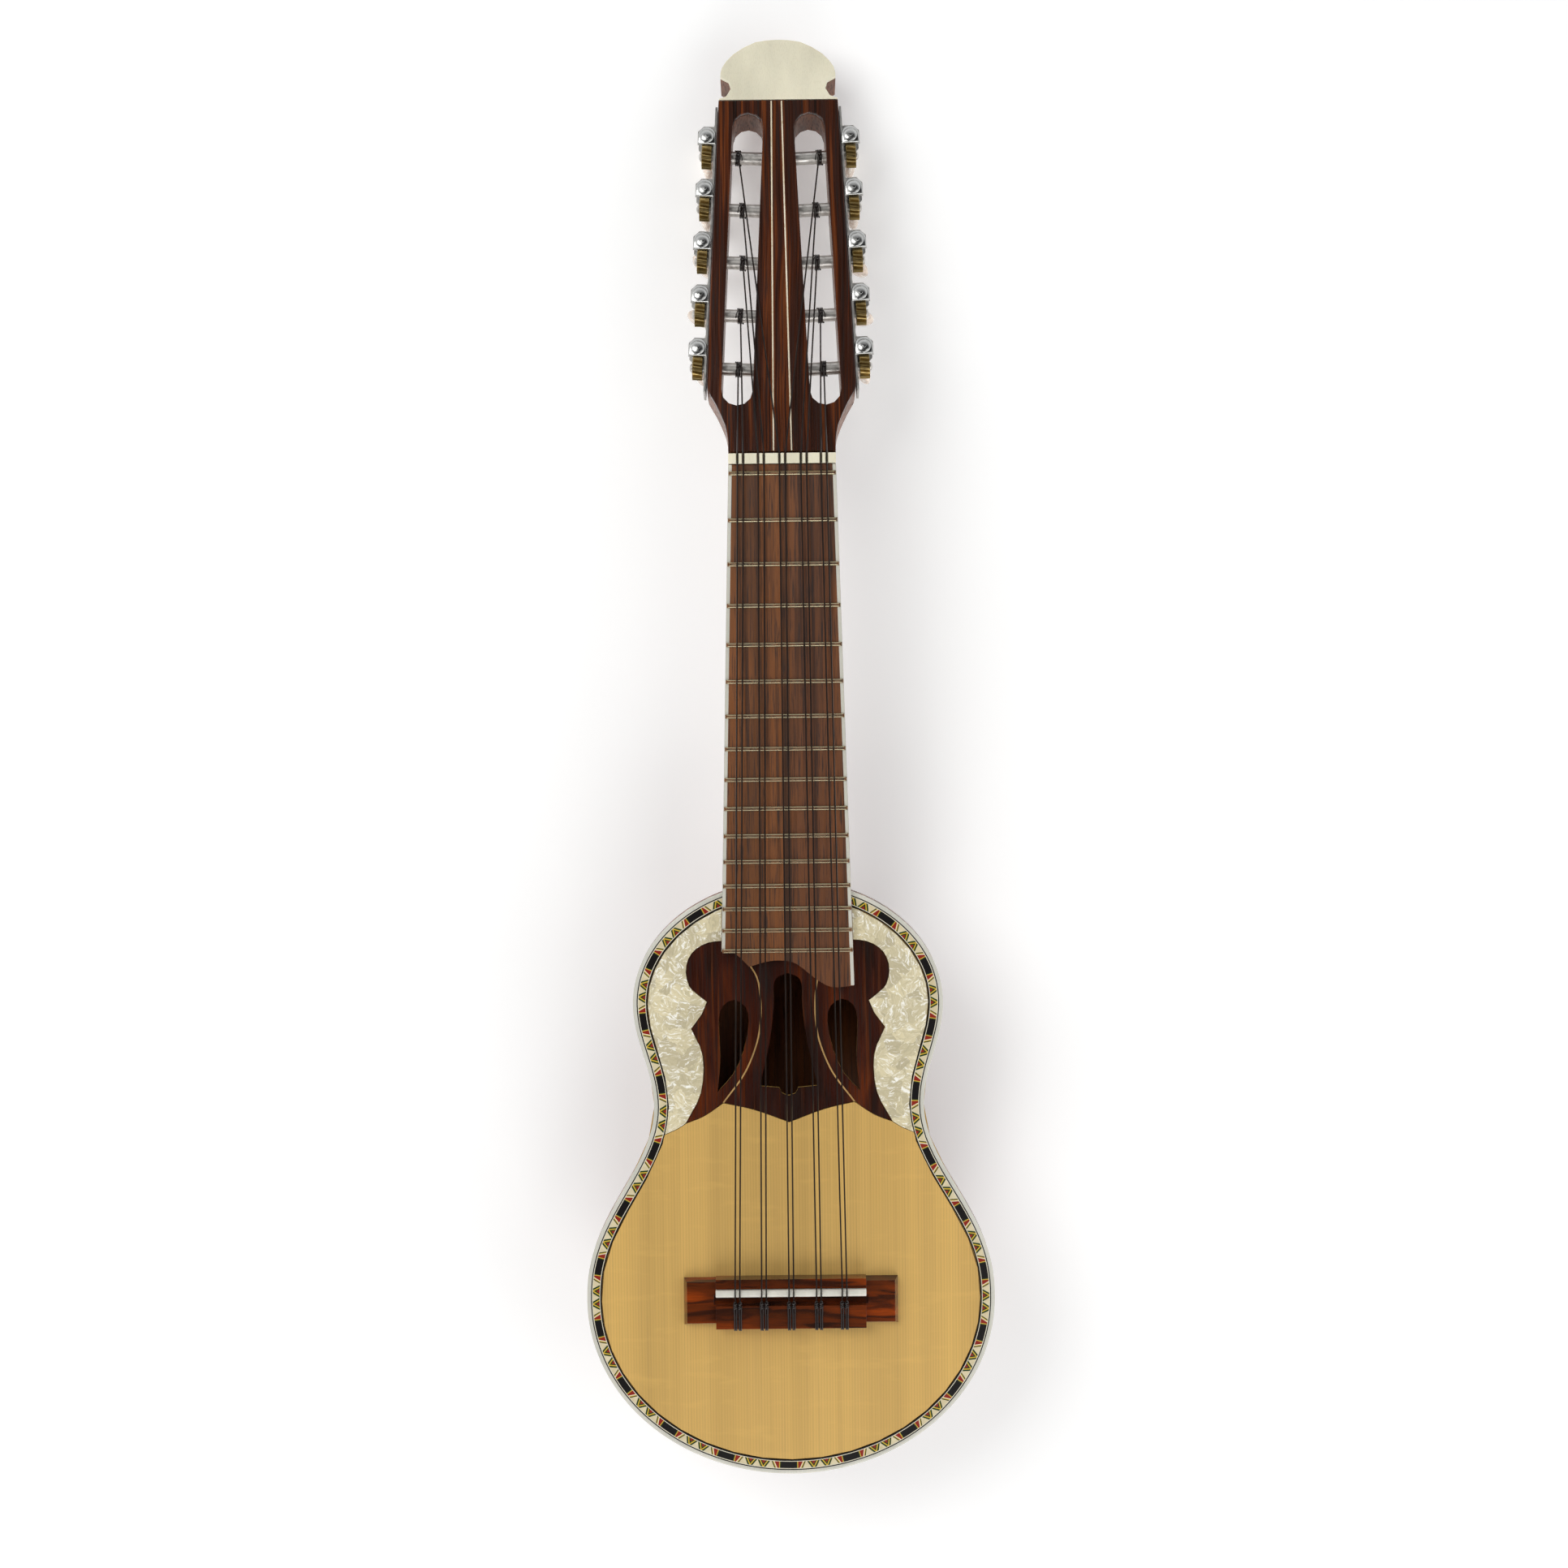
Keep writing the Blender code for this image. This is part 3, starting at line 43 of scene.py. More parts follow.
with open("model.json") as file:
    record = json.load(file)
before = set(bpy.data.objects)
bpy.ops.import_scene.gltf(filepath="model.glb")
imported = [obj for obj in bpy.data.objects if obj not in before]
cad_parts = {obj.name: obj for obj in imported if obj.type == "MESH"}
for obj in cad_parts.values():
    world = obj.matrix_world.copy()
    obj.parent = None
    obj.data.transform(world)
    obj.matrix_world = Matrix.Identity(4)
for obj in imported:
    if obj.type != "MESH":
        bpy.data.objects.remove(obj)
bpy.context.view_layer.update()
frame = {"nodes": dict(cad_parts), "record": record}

MM = 0.001
NODES = frame["nodes"]
JOINTS = {joint["name"]: joint for joint in frame["record"]["behaviour"]["joints"]}
SIDES = ((1, "right"), (-1, "left"))
TUNERS = range(1, 6)
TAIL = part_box("soundboard")[0].y
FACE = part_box("soundboard")[1].z
BODY_LENGTH = 275 * MM
UPPER_BOUT = 219 * MM  # from the tail to the widest place of the upper bout
NUT_HALF_WIDTH = 24.1 * MM
NECK_TAPER = 0.0262  # half-width gained for each unit towards the tail
STRING_LENGTH = 370 * MM
ZERO_FRET = TAIL + 458.2 * MM
HEAD_NORMAL = Vector(JOINTS["button_turn_right_1"]["axis"])
HEAD_ALONG = Vector((0, HEAD_NORMAL.z, -HEAD_NORMAL.y))
HEAD_ORIGIN = Vector((0, TAIL + 467.3 * MM, FACE + 0.2 * MM))


# ---------------------------------------------------------------- settings

def length(name, default, description):
    return bpy.props.FloatProperty(name=name, default=default, description=description,
                                   unit="LENGTH", precision=5, min=0.0)


def colour(name, default, description):
    return bpy.props.StringProperty(name=name, default=default, description=description)


class CharangoWoods(bpy.types.PropertyGroup):
    """Colours of the woods, as sRGB hex values."""
    top: colour("Soundboard", "#D2AA60", "Spruce under clear varnish")
    body: colour("Body and neck", "#74421F", "Cedar of the carved bowl and the neck")
    rosette: colour("Rosette", "#320E02", "Dark wood round the sound holes")
    head: colour("Head face", "#3E1905", "Rosewood veneer on the head")
    bridge: colour("Bridge", "#602603", "Figured wood of the bridge")
    board_left: colour("Fingerboard, left stave", "#74441F", "Warm brown staves")
    board_right: colour("Fingerboard, right stave", "#6C4022", "Broad brown stave")


class CharangoTrim(bpy.types.PropertyGroup):
    """Sizes and colours of the trim."""
    binding_width: length("Edge binding", 1.7 * MM, "Width of the pale binding round the soundboard")
    ring_width: length("Rim ring", 6.5 * MM, "Width of binding, lines and marquetry together")
    marquetry_period: length("Marquetry period", 30 * MM, "Length after which the mosaic repeats")
    board_binding: length("Fingerboard binding", 1.6 * MM, "Width of the strips beside the fingerboard")
    fret_width: length("Fret width", 2.0 * MM, "Width of a fret's crown")
    stripe_width: length("Head stripe", 0.65 * MM, "Width of the pale lines let into the head")
    pearl: colour("Pearloid", "#CFC4A2", "Pearloid sheet between the rosette and the rim")
    ivory: colour("Ivory plastic", "#E9E0C6", "Crest, nut and bindings")
    line: colour("Inlay line", "#C79E62", "Pale lines between the rosette's pieces")


class CharangoStrings(bpy.types.PropertyGroup):
    """Sizes of the strings and their knots."""
    diameter: length("String diameter", 0.7 * MM, "Diameter of the nylon")
    turns: bpy.props.FloatProperty(name="Turns", default=3.5, min=1.0, max=8.0,
                                   description="Turns wound on each roller")
    colour: colour("Nylon", "#17100D", "Black nylon")


class CharangoTuners(bpy.types.PropertyGroup):
    """Sizes and colours of the machine heads."""
    hood_width: length("Hood width", 8.4 * MM, "Width of the rounded hood over each worm")
    disc_radius: length("Shaft disc", 3.1 * MM, "Radius of the domed disc on each shaft")
    button_width: length("Button width", 14.6 * MM, "Width of a tuner button")
    button_length: length("Button length", 14 * MM, "Length of a tuner button")
    nickel: colour("Nickel", "#B4B4B1", "Plated steel")
    brass: colour("Brass", "#A08A5A", "Gear wheels")


class CharangoStage(bpy.types.PropertyGroup):
    """Camera, floor and light."""
    lens: bpy.props.FloatProperty(name="Lens", default=55.92, unit="CAMERA",
                                  description="Focal length in millimetres")
    distance: length("Camera distance", 1.1, "From the camera to its target")
    pitch: bpy.props.FloatProperty(name="Pitch", default=math.radians(4.18), subtype="ANGLE",
                                   description="How far the camera leans towards the head")
    roll: bpy.props.FloatProperty(name="Roll", default=math.radians(0.62), subtype="ANGLE",
                                  description="How far the picture is turned")
    sky: bpy.props.FloatProperty(name="Sky", default=1.15, min=0.0,
                                 description="Brightness of the surroundings near the horizon")
    key_power: bpy.props.FloatProperty(name="Key light", default=11.0, min=0.0,
                                       description="Power of the main soft light, in watts")


GROUPS = {"charango_woods": CharangoWoods, "charango_trim": CharangoTrim,
          "charango_strings": CharangoStrings, "charango_tuners": CharangoTuners,
          "charango_stage": CharangoStage}


# ---------------------------------------------------------------- materials

def linear(colour_hex):
    """An sRGB hex colour as linear RGBA."""
    channels = [int(colour_hex[i:i + 2], 16) / 255 for i in (1, 3, 5)]
    return tuple(c / 12.92 if c <= 0.04045 else ((c + 0.055) / 1.055) ** 2.4 for c in channels) + (1,)


def add_node(tree, kind, inputs=(), **settings):
    """A node with its settings; an input is a value, or another node's output to link."""
    made = tree.nodes.new(kind)
    for name, value in settings.items():
        setattr(made, name, value)
    for name, value in dict(inputs).items():
        if isinstance(value, bpy.types.NodeSocket):
            tree.links.new(value, made.inputs[name])
        else:
            made.inputs[name].default_value = value
    return made


def start_material(name, roughness, **sockets):
    """A material with its shader and Object coordinates."""
    made = bpy.data.materials.new(name)
    made.use_nodes = True
    tree = made.node_tree
    shader = tree.nodes["Principled BSDF"]
    shader.inputs["Roughness"].default_value = roughness
    for socket, value in sockets.items():
        shader.inputs[socket.replace("_", " ")].default_value = value
    place = add_node(tree, "ShaderNodeTexCoord").outputs["Object"]
    return made, tree, shader, place


def stretched(tree, place, scale, turn=(0, 0, 0)):
    return add_node(tree, "ShaderNodeMapping",
                    {"Vector": place, "Scale": scale, "Rotation": turn}).outputs[0]


def noise(tree, place, scale, detail=4.0, roughness=0.55, distortion=0.0):
    return add_node(tree, "ShaderNodeTexNoise",
                    {"Vector": place, "Scale": scale, "Detail": detail, "Roughness": roughness,
                     "Distortion": distortion}).outputs["Fac"]


def ramp(tree, value, stops, smooth="LINEAR"):
    """Colours along a value, from (position, hex) stops."""
    made = add_node(tree, "ShaderNodeValToRGB", {"Fac": value})
    line = made.color_ramp
    line.interpolation = smooth
    while len(line.elements) < len(stops):
        line.elements.new(0.5)
    for element, (position, hex_value) in zip(line.elements, stops):
        element.position = position
        element.color = linear(hex_value)
    return made.outputs["Color"]


def levels(tree, value, low, high, to_low=0.0, to_high=1.0):
    return add_node(tree, "ShaderNodeMapRange", {"Value": value, "From Min": low, "From Max": high,
                                                 "To Min": to_low, "To Max": to_high}).outputs[0]


def maths(tree, operation, a, b=0.0):
    made = add_node(tree, "ShaderNodeMath", operation=operation)
    for index, value in enumerate((a, b)):
        if isinstance(value, bpy.types.NodeSocket):
            tree.links.new(value, made.inputs[index])
        else:
            made.inputs[index].default_value = value
    return made.outputs[0]


def over(tree, under, top, mask):
    """One colour over another where the mask is 1; each colour is a socket or a hex value."""
    made = add_node(tree, "ShaderNodeMix", data_type="RGBA")
    for index, value in ((0, mask), (6, under), (7, top)):
        if isinstance(value, bpy.types.NodeSocket):
            tree.links.new(value, made.inputs[index])
        elif isinstance(value, str):
            made.inputs[index].default_value = linear(value)
        else:
            made.inputs[index].default_value = value
    return made.outputs[2]


def bump(tree, shader, height, depth):
    """Relief of a real depth in metres."""
    made = add_node(tree, "ShaderNodeBump", {"Height": height, "Distance": depth, "Strength": 1.0})
    tree.links.new(made.outputs[0], shader.inputs["Normal"])


def colour_and_gloss(tree, shader, colour_socket, gloss_socket=None):
    tree.links.new(colour_socket, shader.inputs["Base Color"])
    if gloss_socket:
        tree.links.new(gloss_socket, shader.inputs["Roughness"])


def shade(colour_hex, factor):
    """The hex colour made darker or lighter by a factor."""
    channels = [min(255, max(0, round(int(colour_hex[i:i + 2], 16) * factor))) for i in (1, 3, 5)]
    return "#{:02X}{:02X}{:02X}".format(*channels)


def grained(name, stops, pore, roughness, coat, streaks=(260, 5), pores=(1500, 40),
            clouds=0.4, through=1.0, depth=0.02 * MM):
    """Wood with grain along Y: streaks that take the colours of stops, fine pores, slow shading.

    streaks and pores are cycles per metre across and along the grain. through is the share of the
    crosswise cycles that shows along Z: small where the grain leans out of the level.
    """
    made, tree, shader, place = start_material(name, roughness, Coat_Weight=coat, Coat_Roughness=0.1,
                                               IOR=1.5)
    bend = noise(tree, stretched(tree, place, (9, 9, 9)), 1.0, 2.0)
    wander = add_node(tree, "ShaderNodeCombineXYZ", {"X": levels(tree, bend, 0, 1, -2.5 * MM, 2.5 * MM)})
    moved = add_node(tree, "ShaderNodeVectorMath", {0: place, 1: wander.outputs[0]}, operation="ADD")
    broad = noise(tree, stretched(tree, moved.outputs[0], (streaks[0], streaks[1], streaks[0] * through)),
                  1.0, 4.0, 0.6)
    fine = noise(tree, stretched(tree, moved.outputs[0], (pores[0], pores[1], pores[0] * through)), 1.0, 2.0)
    slow = noise(tree, stretched(tree, place, (28, 5, 28 * through)), 1.0, 2.0)
    tone = ramp(tree, broad, stops)
    tone = over(tree, tone, shade(stops[0][1], 0.9), levels(tree, slow, 0.45, 0.75, 0, clouds))
    tone = over(tree, tone, pore, levels(tree, fine, 0.54, 0.68, 0, 0.75))
    colour_and_gloss(tree, shader, tone, levels(tree, fine, 0.3, 0.8, roughness * 0.8, roughness * 1.4))
    bump(tree, shader, fine, depth)
    return made


def spruce_material(name, base, roughness, coat):
    """Quarter-sawn spruce: straight annual lines about 1.3 mm apart, silky between them."""
    made, tree, shader, place = start_material(name, roughness, Coat_Weight=coat, Coat_Roughness=0.1,
                                               IOR=1.5)
    sway = levels(tree, noise(tree, stretched(tree, place, (25, 3, 25)), 1.0, 2.0), 0, 1, -4, 4)
    x = add_node(tree, "ShaderNodeSeparateXYZ", {0: place}).outputs["X"]
    phase = maths(tree, "ADD", maths(tree, "MULTIPLY", x, 2 * math.pi / (1.3 * MM)), sway)
    rings = maths(tree, "SINE", phase)
    fine = noise(tree, stretched(tree, place, (2400, 14, 2400)), 1.0, 3.0)
    bands = noise(tree, stretched(tree, place, (75, 0.8, 75)), 1.0, 3.0, 0.6)
    silk = noise(tree, stretched(tree, place, (40, 160, 40)), 1.0, 3.0)
    tone = ramp(tree, bands, ((0.3, shade(base, 0.93)), (0.55, base), (0.75, shade(base, 1.045))))
    tone = over(tree, tone, shade(base, 0.8), levels(tree, rings, 0.1, 1.0, 0, 0.28))
    tone = over(tree, tone, shade(base, 0.72), levels(tree, fine, 0.52, 0.8, 0, 0.35))
    tone = over(tree, tone, shade(base, 1.1), levels(tree, silk, 0.55, 0.75, 0, 0.25))
    colour_and_gloss(tree, shader, tone, levels(tree, fine, 0.3, 0.7, roughness * 0.85, roughness * 1.2))
    bump(tree, shader, fine, 0.008 * MM)
    return made


def rosette_material(base):
    """Very dark rosewood under gloss varnish, with warm brown grain streaks painted lighter as glimmers, a
    painted highlight along the grain.
    """
    made, tree, shader, place = start_material("varnished_rosewood", 0.34, Coat_Weight=0.3,
                                               Coat_Roughness=0.07, IOR=1.45)
    slow = noise(tree, stretched(tree, place, (70, 16, 70)), 1.0, 3.0, 0.5, 0.6)
    streak = noise(tree, stretched(tree, place, (420, 12, 420)), 1.0, 3.0)
    fine = noise(tree, stretched(tree, place, (1300, 45, 1300)), 1.0, 3.0)
    tone = ramp(tree, slow, ((0.34, shade(base, 0.6)), (0.5, base), (0.7, "#5E2606")), "EASE")
    # Grain streaks in a lighter warm brown: partly the wood's figure, partly a painted highlight standing in
    # for the glimmer of light on the varnish.
    tone = over(tree, tone, "#6B3510", levels(tree, streak, 0.56, 0.74, 0, 0.6))
    tone = over(tree, tone, shade(base, 0.35), levels(tree, fine, 0.5, 0.68, 0, 0.75))
    colour_and_gloss(tree, shader, tone, levels(tree, fine, 0.3, 0.8, 0.24, 0.42))
    bump(tree, shader, fine, 0.012 * MM)
    return made


def bridge_material(base):
    """Figured hardwood: dark veins and fine pores run along the bar through a warm brown ground."""
    made, tree, shader, place = start_material("figured_hardwood", 0.24, Coat_Weight=0.7,
                                               Coat_Roughness=0.06, IOR=1.5)
    warp = noise(tree, stretched(tree, place, (22, 120, 60)), 1.0, 3.0, 0.5, 0.4)
    y = add_node(tree, "ShaderNodeSeparateXYZ", {0: place}).outputs["Y"]
    phase = maths(tree, "ADD", maths(tree, "MULTIPLY", y, 800.0), maths(tree, "MULTIPLY", warp, 20.0))
    vein = maths(tree, "SINE", phase)
    fine = noise(tree, stretched(tree, place, (70, 1500, 900)), 1.0, 4.0)
    tone = ramp(tree, warp, ((0.32, shade(base, 0.62)), (0.5, base), (0.68, shade(base, 1.5))))
    tone = over(tree, tone, "#220B02", levels(tree, vein, 0.1, 1.0, 0, 0.8))
    tone = over(tree, tone, "#2E1204", levels(tree, fine, 0.5, 0.7, 0, 0.45))
    colour_and_gloss(tree, shader, tone)
    bump(tree, shader, fine, 0.01 * MM)
    return made


def fingerboard_material(left, right):
    """Staves of unlike dark woods glued side by side, open-pored and oiled."""
    made, tree, shader, place = start_material("oiled_staves", 0.42, Coat_Weight=0.15,
                                               Coat_Roughness=0.3, IOR=1.5)
    x = add_node(tree, "ShaderNodeSeparateXYZ", {0: place}).outputs["X"]
    share = levels(tree, x, -30 * MM, 30 * MM)
    # Stave edges are 9.5, 20, 29.3 and 32.3 mm in from the left edge of a 60 mm span.
    tone = ramp(tree, share, ((0.0, left), (0.158, shade(left, 0.84)), (0.333, shade(left, 1.04)),
                              (0.488, shade(right, 0.62)), (0.538, right)), "CONSTANT")
    broad = noise(tree, stretched(tree, place, (330, 6, 330)), 1.0, 4.0, 0.6)
    fine = noise(tree, stretched(tree, place, (1900, 60, 1900)), 1.0, 3.0)
    slow = noise(tree, stretched(tree, place, (120, 9, 120)), 1.0, 3.0)
    tone = over(tree, tone, "#8C5428", levels(tree, slow, 0.48, 0.72, 0, 0.6))
    tone = over(tree, tone, "#26130A", levels(tree, broad, 0.5, 0.66, 0, 0.75))
    tone = over(tree, tone, "#1A0D07", levels(tree, fine, 0.53, 0.66, 0, 0.8))
    colour_and_gloss(tree, shader, tone, levels(tree, fine, 0.3, 0.8, 0.36, 0.6))
    bump(tree, shader, fine, 0.03 * MM)
    return made


def pearloid_material(name, base, flake=6 * MM):
    """Celluloid with pearl flakes: each flake has its own tone and silky white streaks of its own lean."""
    made, tree, shader, place = start_material(name, 0.2, Coat_Weight=0.5, Coat_Roughness=0.06, IOR=1.5)
    warp = add_node(tree, "ShaderNodeTexNoise", {"Vector": place, "Scale": 220.0, "Detail": 3.0})
    offset = add_node(tree, "ShaderNodeVectorMath", {0: warp.outputs["Color"], "Scale": 0.8 * flake},
                      operation="SCALE")
    moved = add_node(tree, "ShaderNodeVectorMath", {0: place, 1: offset.outputs[0]}, operation="ADD")
    cells = add_node(tree, "ShaderNodeTexVoronoi", {"Vector": moved.outputs[0], "Scale": 1 / flake},
                     feature="F1")
    tint = add_node(tree, "ShaderNodeSeparateColor", {0: cells.outputs["Color"]})
    leant = add_node(tree, "ShaderNodeVectorRotate",
                     {"Vector": moved.outputs[0], "Angle": maths(tree, "MULTIPLY", tint.outputs[1], math.pi)},
                     rotation_type="Z_AXIS")
    silk = noise(tree, stretched(tree, leant.outputs[0], (0.9 / MM, 0.16 / MM, 0.5 / MM)), 1.0, 4.0, 0.6, 0.8)
    tone = ramp(tree, tint.outputs[0], ((0.1, shade(base, 0.93)), (0.5, base), (0.9, shade(base, 1.08))))
    tone = over(tree, tone, shade(base, 0.86), levels(tree, silk, 0.47, 0.34, 0, 0.5))
    tone = over(tree, tone, "#FFFDF4", levels(tree, silk, 0.53, 0.64, 0, 0.9))
    colour_and_gloss(tree, shader, tone, levels(tree, silk, 0.3, 0.7, 0.28, 0.12))
    return made


def plastic(name, base, roughness, mottle=0.06, scale=60.0):
    """Cast celluloid or bone, with a faint figure and fine scratches."""
    made, tree, shader, place = start_material(name, roughness, Coat_Weight=0.3, Coat_Roughness=0.15,
                                               IOR=1.5, Subsurface_Weight=0.05)
    slow = noise(tree, stretched(tree, place, (scale, scale * 0.25, scale)), 1.0, 3.0)
    fine = noise(tree, stretched(tree, place, (2500, 300, 2500)), 1.0, 2.0)
    tone = ramp(tree, slow, ((0.3, shade(base, 1 - mottle)), (0.7, shade(base, 1 + mottle * 0.6))))
    colour_and_gloss(tree, shader, tone, levels(tree, fine, 0.3, 0.75, roughness * 0.8, roughness * 1.35))
    bump(tree, shader, fine, 0.003 * MM)
    return made


def metal(name, base, roughness, tarnish, smudge=0.5):
    """Plated or bare metal with handling marks."""
    made, tree, shader, place = start_material(name, roughness, Metallic=1.0)
    cloud = noise(tree, stretched(tree, place, (420, 420, 420)), 1.0, 4.0, 0.6)
    scratch = noise(tree, stretched(tree, place, (3500, 500, 900), (0.2, 0.1, 0.4)), 1.0, 2.0)
    tone = over(tree, base, tarnish, levels(tree, cloud, 0.48, 0.75, 0, smudge))
    colour_and_gloss(tree, shader, tone, levels(tree, cloud, 0.3, 0.75, roughness * 0.75, roughness * 1.5))
    bump(tree, shader, scratch, 0.003 * MM)
    return made


def nylon_material(base):
    """Black monofilament: smooth, a little translucent at the edge."""
    made, tree, shader, place = start_material("black_nylon", 0.28, IOR=1.53, Coat_Weight=0.2,
                                               Coat_Roughness=0.1)
    cloud = noise(tree, stretched(tree, place, (600, 60, 600)), 1.0, 2.0)
    tone = ramp(tree, cloud, ((0.35, base), (0.75, shade(base, 1.7))))
    colour_and_gloss(tree, shader, tone)
    return made


def marquetry_material(period):
    """Dyed wood mosaic in a band: black blocks, red wedges and green and yellow chevrons on holly.

    The strip's UV map runs in millimetres: U along the rim, V from the band's outer line inwards.
    """
    made, tree, shader, place = start_material("dyed_marquetry", 0.3, Coat_Weight=0.5,
                                               Coat_Roughness=0.1, IOR=1.5)
    strip = add_node(tree, "ShaderNodeSeparateXYZ",
                     {0: add_node(tree, "ShaderNodeUVMap", uv_map="strip").outputs[0]})
    along, across = strip.outputs["X"], strip.outputs["Y"]
    half = period / MM / 2
    from_block = maths(tree, "PINGPONG", along, half)   # 0 at a black block's middle
    inner = levels(tree, across, 0.85, 3.95)            # 0 at the band's outer edge, 1 at its inner edge
    tone = ramp(tree, noise(tree, stretched(tree, place, (300, 300, 300)), 1.0, 3.0),
                ((0.3, "#CDBE98"), (0.7, "#DDD0AC")))

    def fill(colour_hex, mask):
        nonlocal tone
        tone = over(tree, tone, colour_hex, mask)

    def nearer(value, limit):
        return maths(tree, "LESS_THAN", value, limit)

    wedge = maths(tree, "ADD", from_block, maths(tree, "MULTIPLY", inner, -1.6))
    for limit, colour_hex in ((6.6, "#2B3A1E"), (6.1, "#BF9E30"), (5.7, "#E0D4B2"), (5.2, "#8A2416")):
        fill(colour_hex, nearer(wedge, limit))
    for limit, colour_hex in ((4.5, "#C5A63C"), (4.1, "#2B3A1E"), (3.7, "#0F0B0A")):
        fill(colour_hex, nearer(from_block, limit))
    off = maths(tree, "ABSOLUTE", maths(tree, "SUBTRACT", from_block, half - 3.1))
    spread = maths(tree, "SUBTRACT", off, maths(tree, "MULTIPLY", inner, 1.9))
    for limit, colour_hex in ((1.15, "#1C3A18"), (0.3, "#CDA93A"), (-0.3, "#1C3A18"), (-0.9, "#8C2417")):
        fill(colour_hex, nearer(spread, limit))
    for low, high, colour_hex in ((-1.0, 0.5, "#100C0B"), (0.5, 0.85, "#D9D2BC"),
                                  (3.95, 4.25, "#D9D2BC"), (4.25, 9.0, "#100C0B")):
        fill(colour_hex, maths(tree, "MULTIPLY", maths(tree, "GREATER_THAN", across, low),
                               nearer(across, high)))
    colour_and_gloss(tree, shader, tone)
    return made


LOOKS = {}


def build_looks(scene):
    woods, trim = scene.charango_woods, scene.charango_trim
    tuners = scene.charango_tuners
    LOOKS.update(
        top=spruce_material("varnished_spruce", woods.top, 0.34, 0.55),
        brace=spruce_material("raw_spruce", "#D2B077", 0.6, 0.0),
        body=grained("varnished_cedar", ((0.3, shade(woods.body, 0.72)), (0.5, woods.body),
                                         (0.72, shade(woods.body, 1.2))), shade(woods.body, 0.5), 0.42, 0.12,
                     streaks=(240, 6), through=0.2),
        rosette=rosette_material(woods.rosette),
        head=grained("rosewood_veneer", ((0.36, "#180802"), (0.43, woods.head), (0.48, "#2A1004"),
                                         (0.53, shade(woods.head, 1.15)), (0.57, "#6A3410"),
                                         (0.62, woods.head), (0.68, "#220D04")), "#120602", 0.26, 0.35,
                     streaks=(270, 4), pores=(1500, 35), clouds=0.25, through=0.01),
        board=fingerboard_material(woods.board_left, woods.board_right),
        bridge=bridge_material(woods.bridge),
        pearl=pearloid_material("pearloid_sheet", trim.pearl),
        button=pearloid_material("pearloid_button", "#E2CFBE", 4 * MM),
        ivory=plastic("ivory_celluloid", trim.ivory, 0.28),
        binding=plastic("binding_celluloid", "#D2CEC1", 0.25),
        bone=plastic("polished_bone", "#D8D3C6", 0.32, 0.05, 200.0),
        line=grained("inlay_maple", ((0.3, shade(trim.line, 0.85)), (0.7, trim.line)), shade(trim.line, 0.7),
                     0.35, 0.3),
        stripe=grained("holly_line", ((0.3, "#D8C8A8"), (0.7, "#F0E6D0")), "#C0A880", 0.35, 0.3),
        marquetry=marquetry_material(trim.marquetry_period),
        nickel=metal("plated_nickel", tuners.nickel, 0.22, "#8A8A88", 0.35),
        plate=metal("brushed_steel", "#B9B7B2", 0.36, "#8E8B86", 0.3),
        worn_steel=metal("worn_steel", "#C6C2BC", 0.4, "#5A5650", 0.45),
        brass=metal("worn_brass", tuners.brass, 0.34, "#3E3620", 0.6),
        fret=metal("nickel_silver", "#BDB494", 0.3, "#8E866A", 0.2),
        nylon=nylon_material(scene.charango_strings.colour))


# ---------------------------------------------------------------- shapes

def settle(piece, look, body="instrument", smooth=35.0):
    """Gives a finished piece its material, its shading and the body it rides on."""
    piece.data.materials.clear()
    piece.data.materials.append(LOOKS[look])
    if smooth:
        soften(piece, smooth)
    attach(piece, body)
    return piece


def soften(piece, angle):
    piece.data.shade_smooth()
    piece.data.set_sharp_from_angle(angle=math.radians(angle))


def piece_from(work, name):
    """An object from a bmesh, its faces turned outwards."""
    bmesh.ops.recalc_face_normals(work, faces=work.faces)
    mesh = bpy.data.meshes.new(name)
    work.to_mesh(mesh)
    work.free()
    made = bpy.data.objects.new(name, mesh)
    bpy.context.scene.collection.objects.link(made)
    return made


def plain_mesh(source, name):
    """The evaluated object as a plain mesh at the origin; the source is removed."""
    bpy.context.view_layer.update()
    seen = source.evaluated_get(bpy.context.evaluated_depsgraph_get())
    mesh = bpy.data.meshes.new_from_object(seen)
    mesh.transform(source.matrix_world)
    mesh.name = name
    bpy.data.objects.remove(source, do_unlink=True)
    made = bpy.data.objects.new(name, mesh)
    bpy.context.scene.collection.objects.link(made)
    return made


def finished_copy(node_name, name, look, bevel=0.0, smooth=35.0, segments=2, body="instrument"):
    """A copy of a CAD piece with its doubles merged, its flat faces joined and its edges eased."""
    work = bmesh.new()
    work.from_mesh(NODES[node_name].data)
    bmesh.ops.remove_doubles(work, verts=work.verts, dist=0.002 * MM)
    bmesh.ops.dissolve_limit(work, angle_limit=math.radians(0.6), verts=work.verts, edges=work.edges)
    made = piece_from(work, name)
    soften(made, smooth)
    if bevel:
        ease = made.modifiers.new("eased_edges", "BEVEL")
        ease.width = bevel
        ease.segments = segments
        ease.limit_method = "ANGLE"
        ease.angle_limit = math.radians(40)
    flat = made.modifiers.new("flat_faces_stay_flat", "WEIGHTED_NORMAL")
    flat.keep_sharp = not bevel
    made = plain_mesh(made, name)
    settle(made, look, body, None)
    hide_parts(node_name)
    return made


def loft(rings, name):
    """A skin through rings that have the same number of points, with a face at each end."""
    work = bmesh.new()
    rows = [[work.verts.new(p) for p in ring] for ring in rings]
    for lower, upper in zip(rows, rows[1:]):
        for i in range(len(lower)):
            j = (i + 1) % len(lower)
            work.faces.new((lower[i], lower[j], upper[j], upper[i]))
    work.faces.new(rows[0])
    work.faces.new(rows[-1])
    return piece_from(work, name)


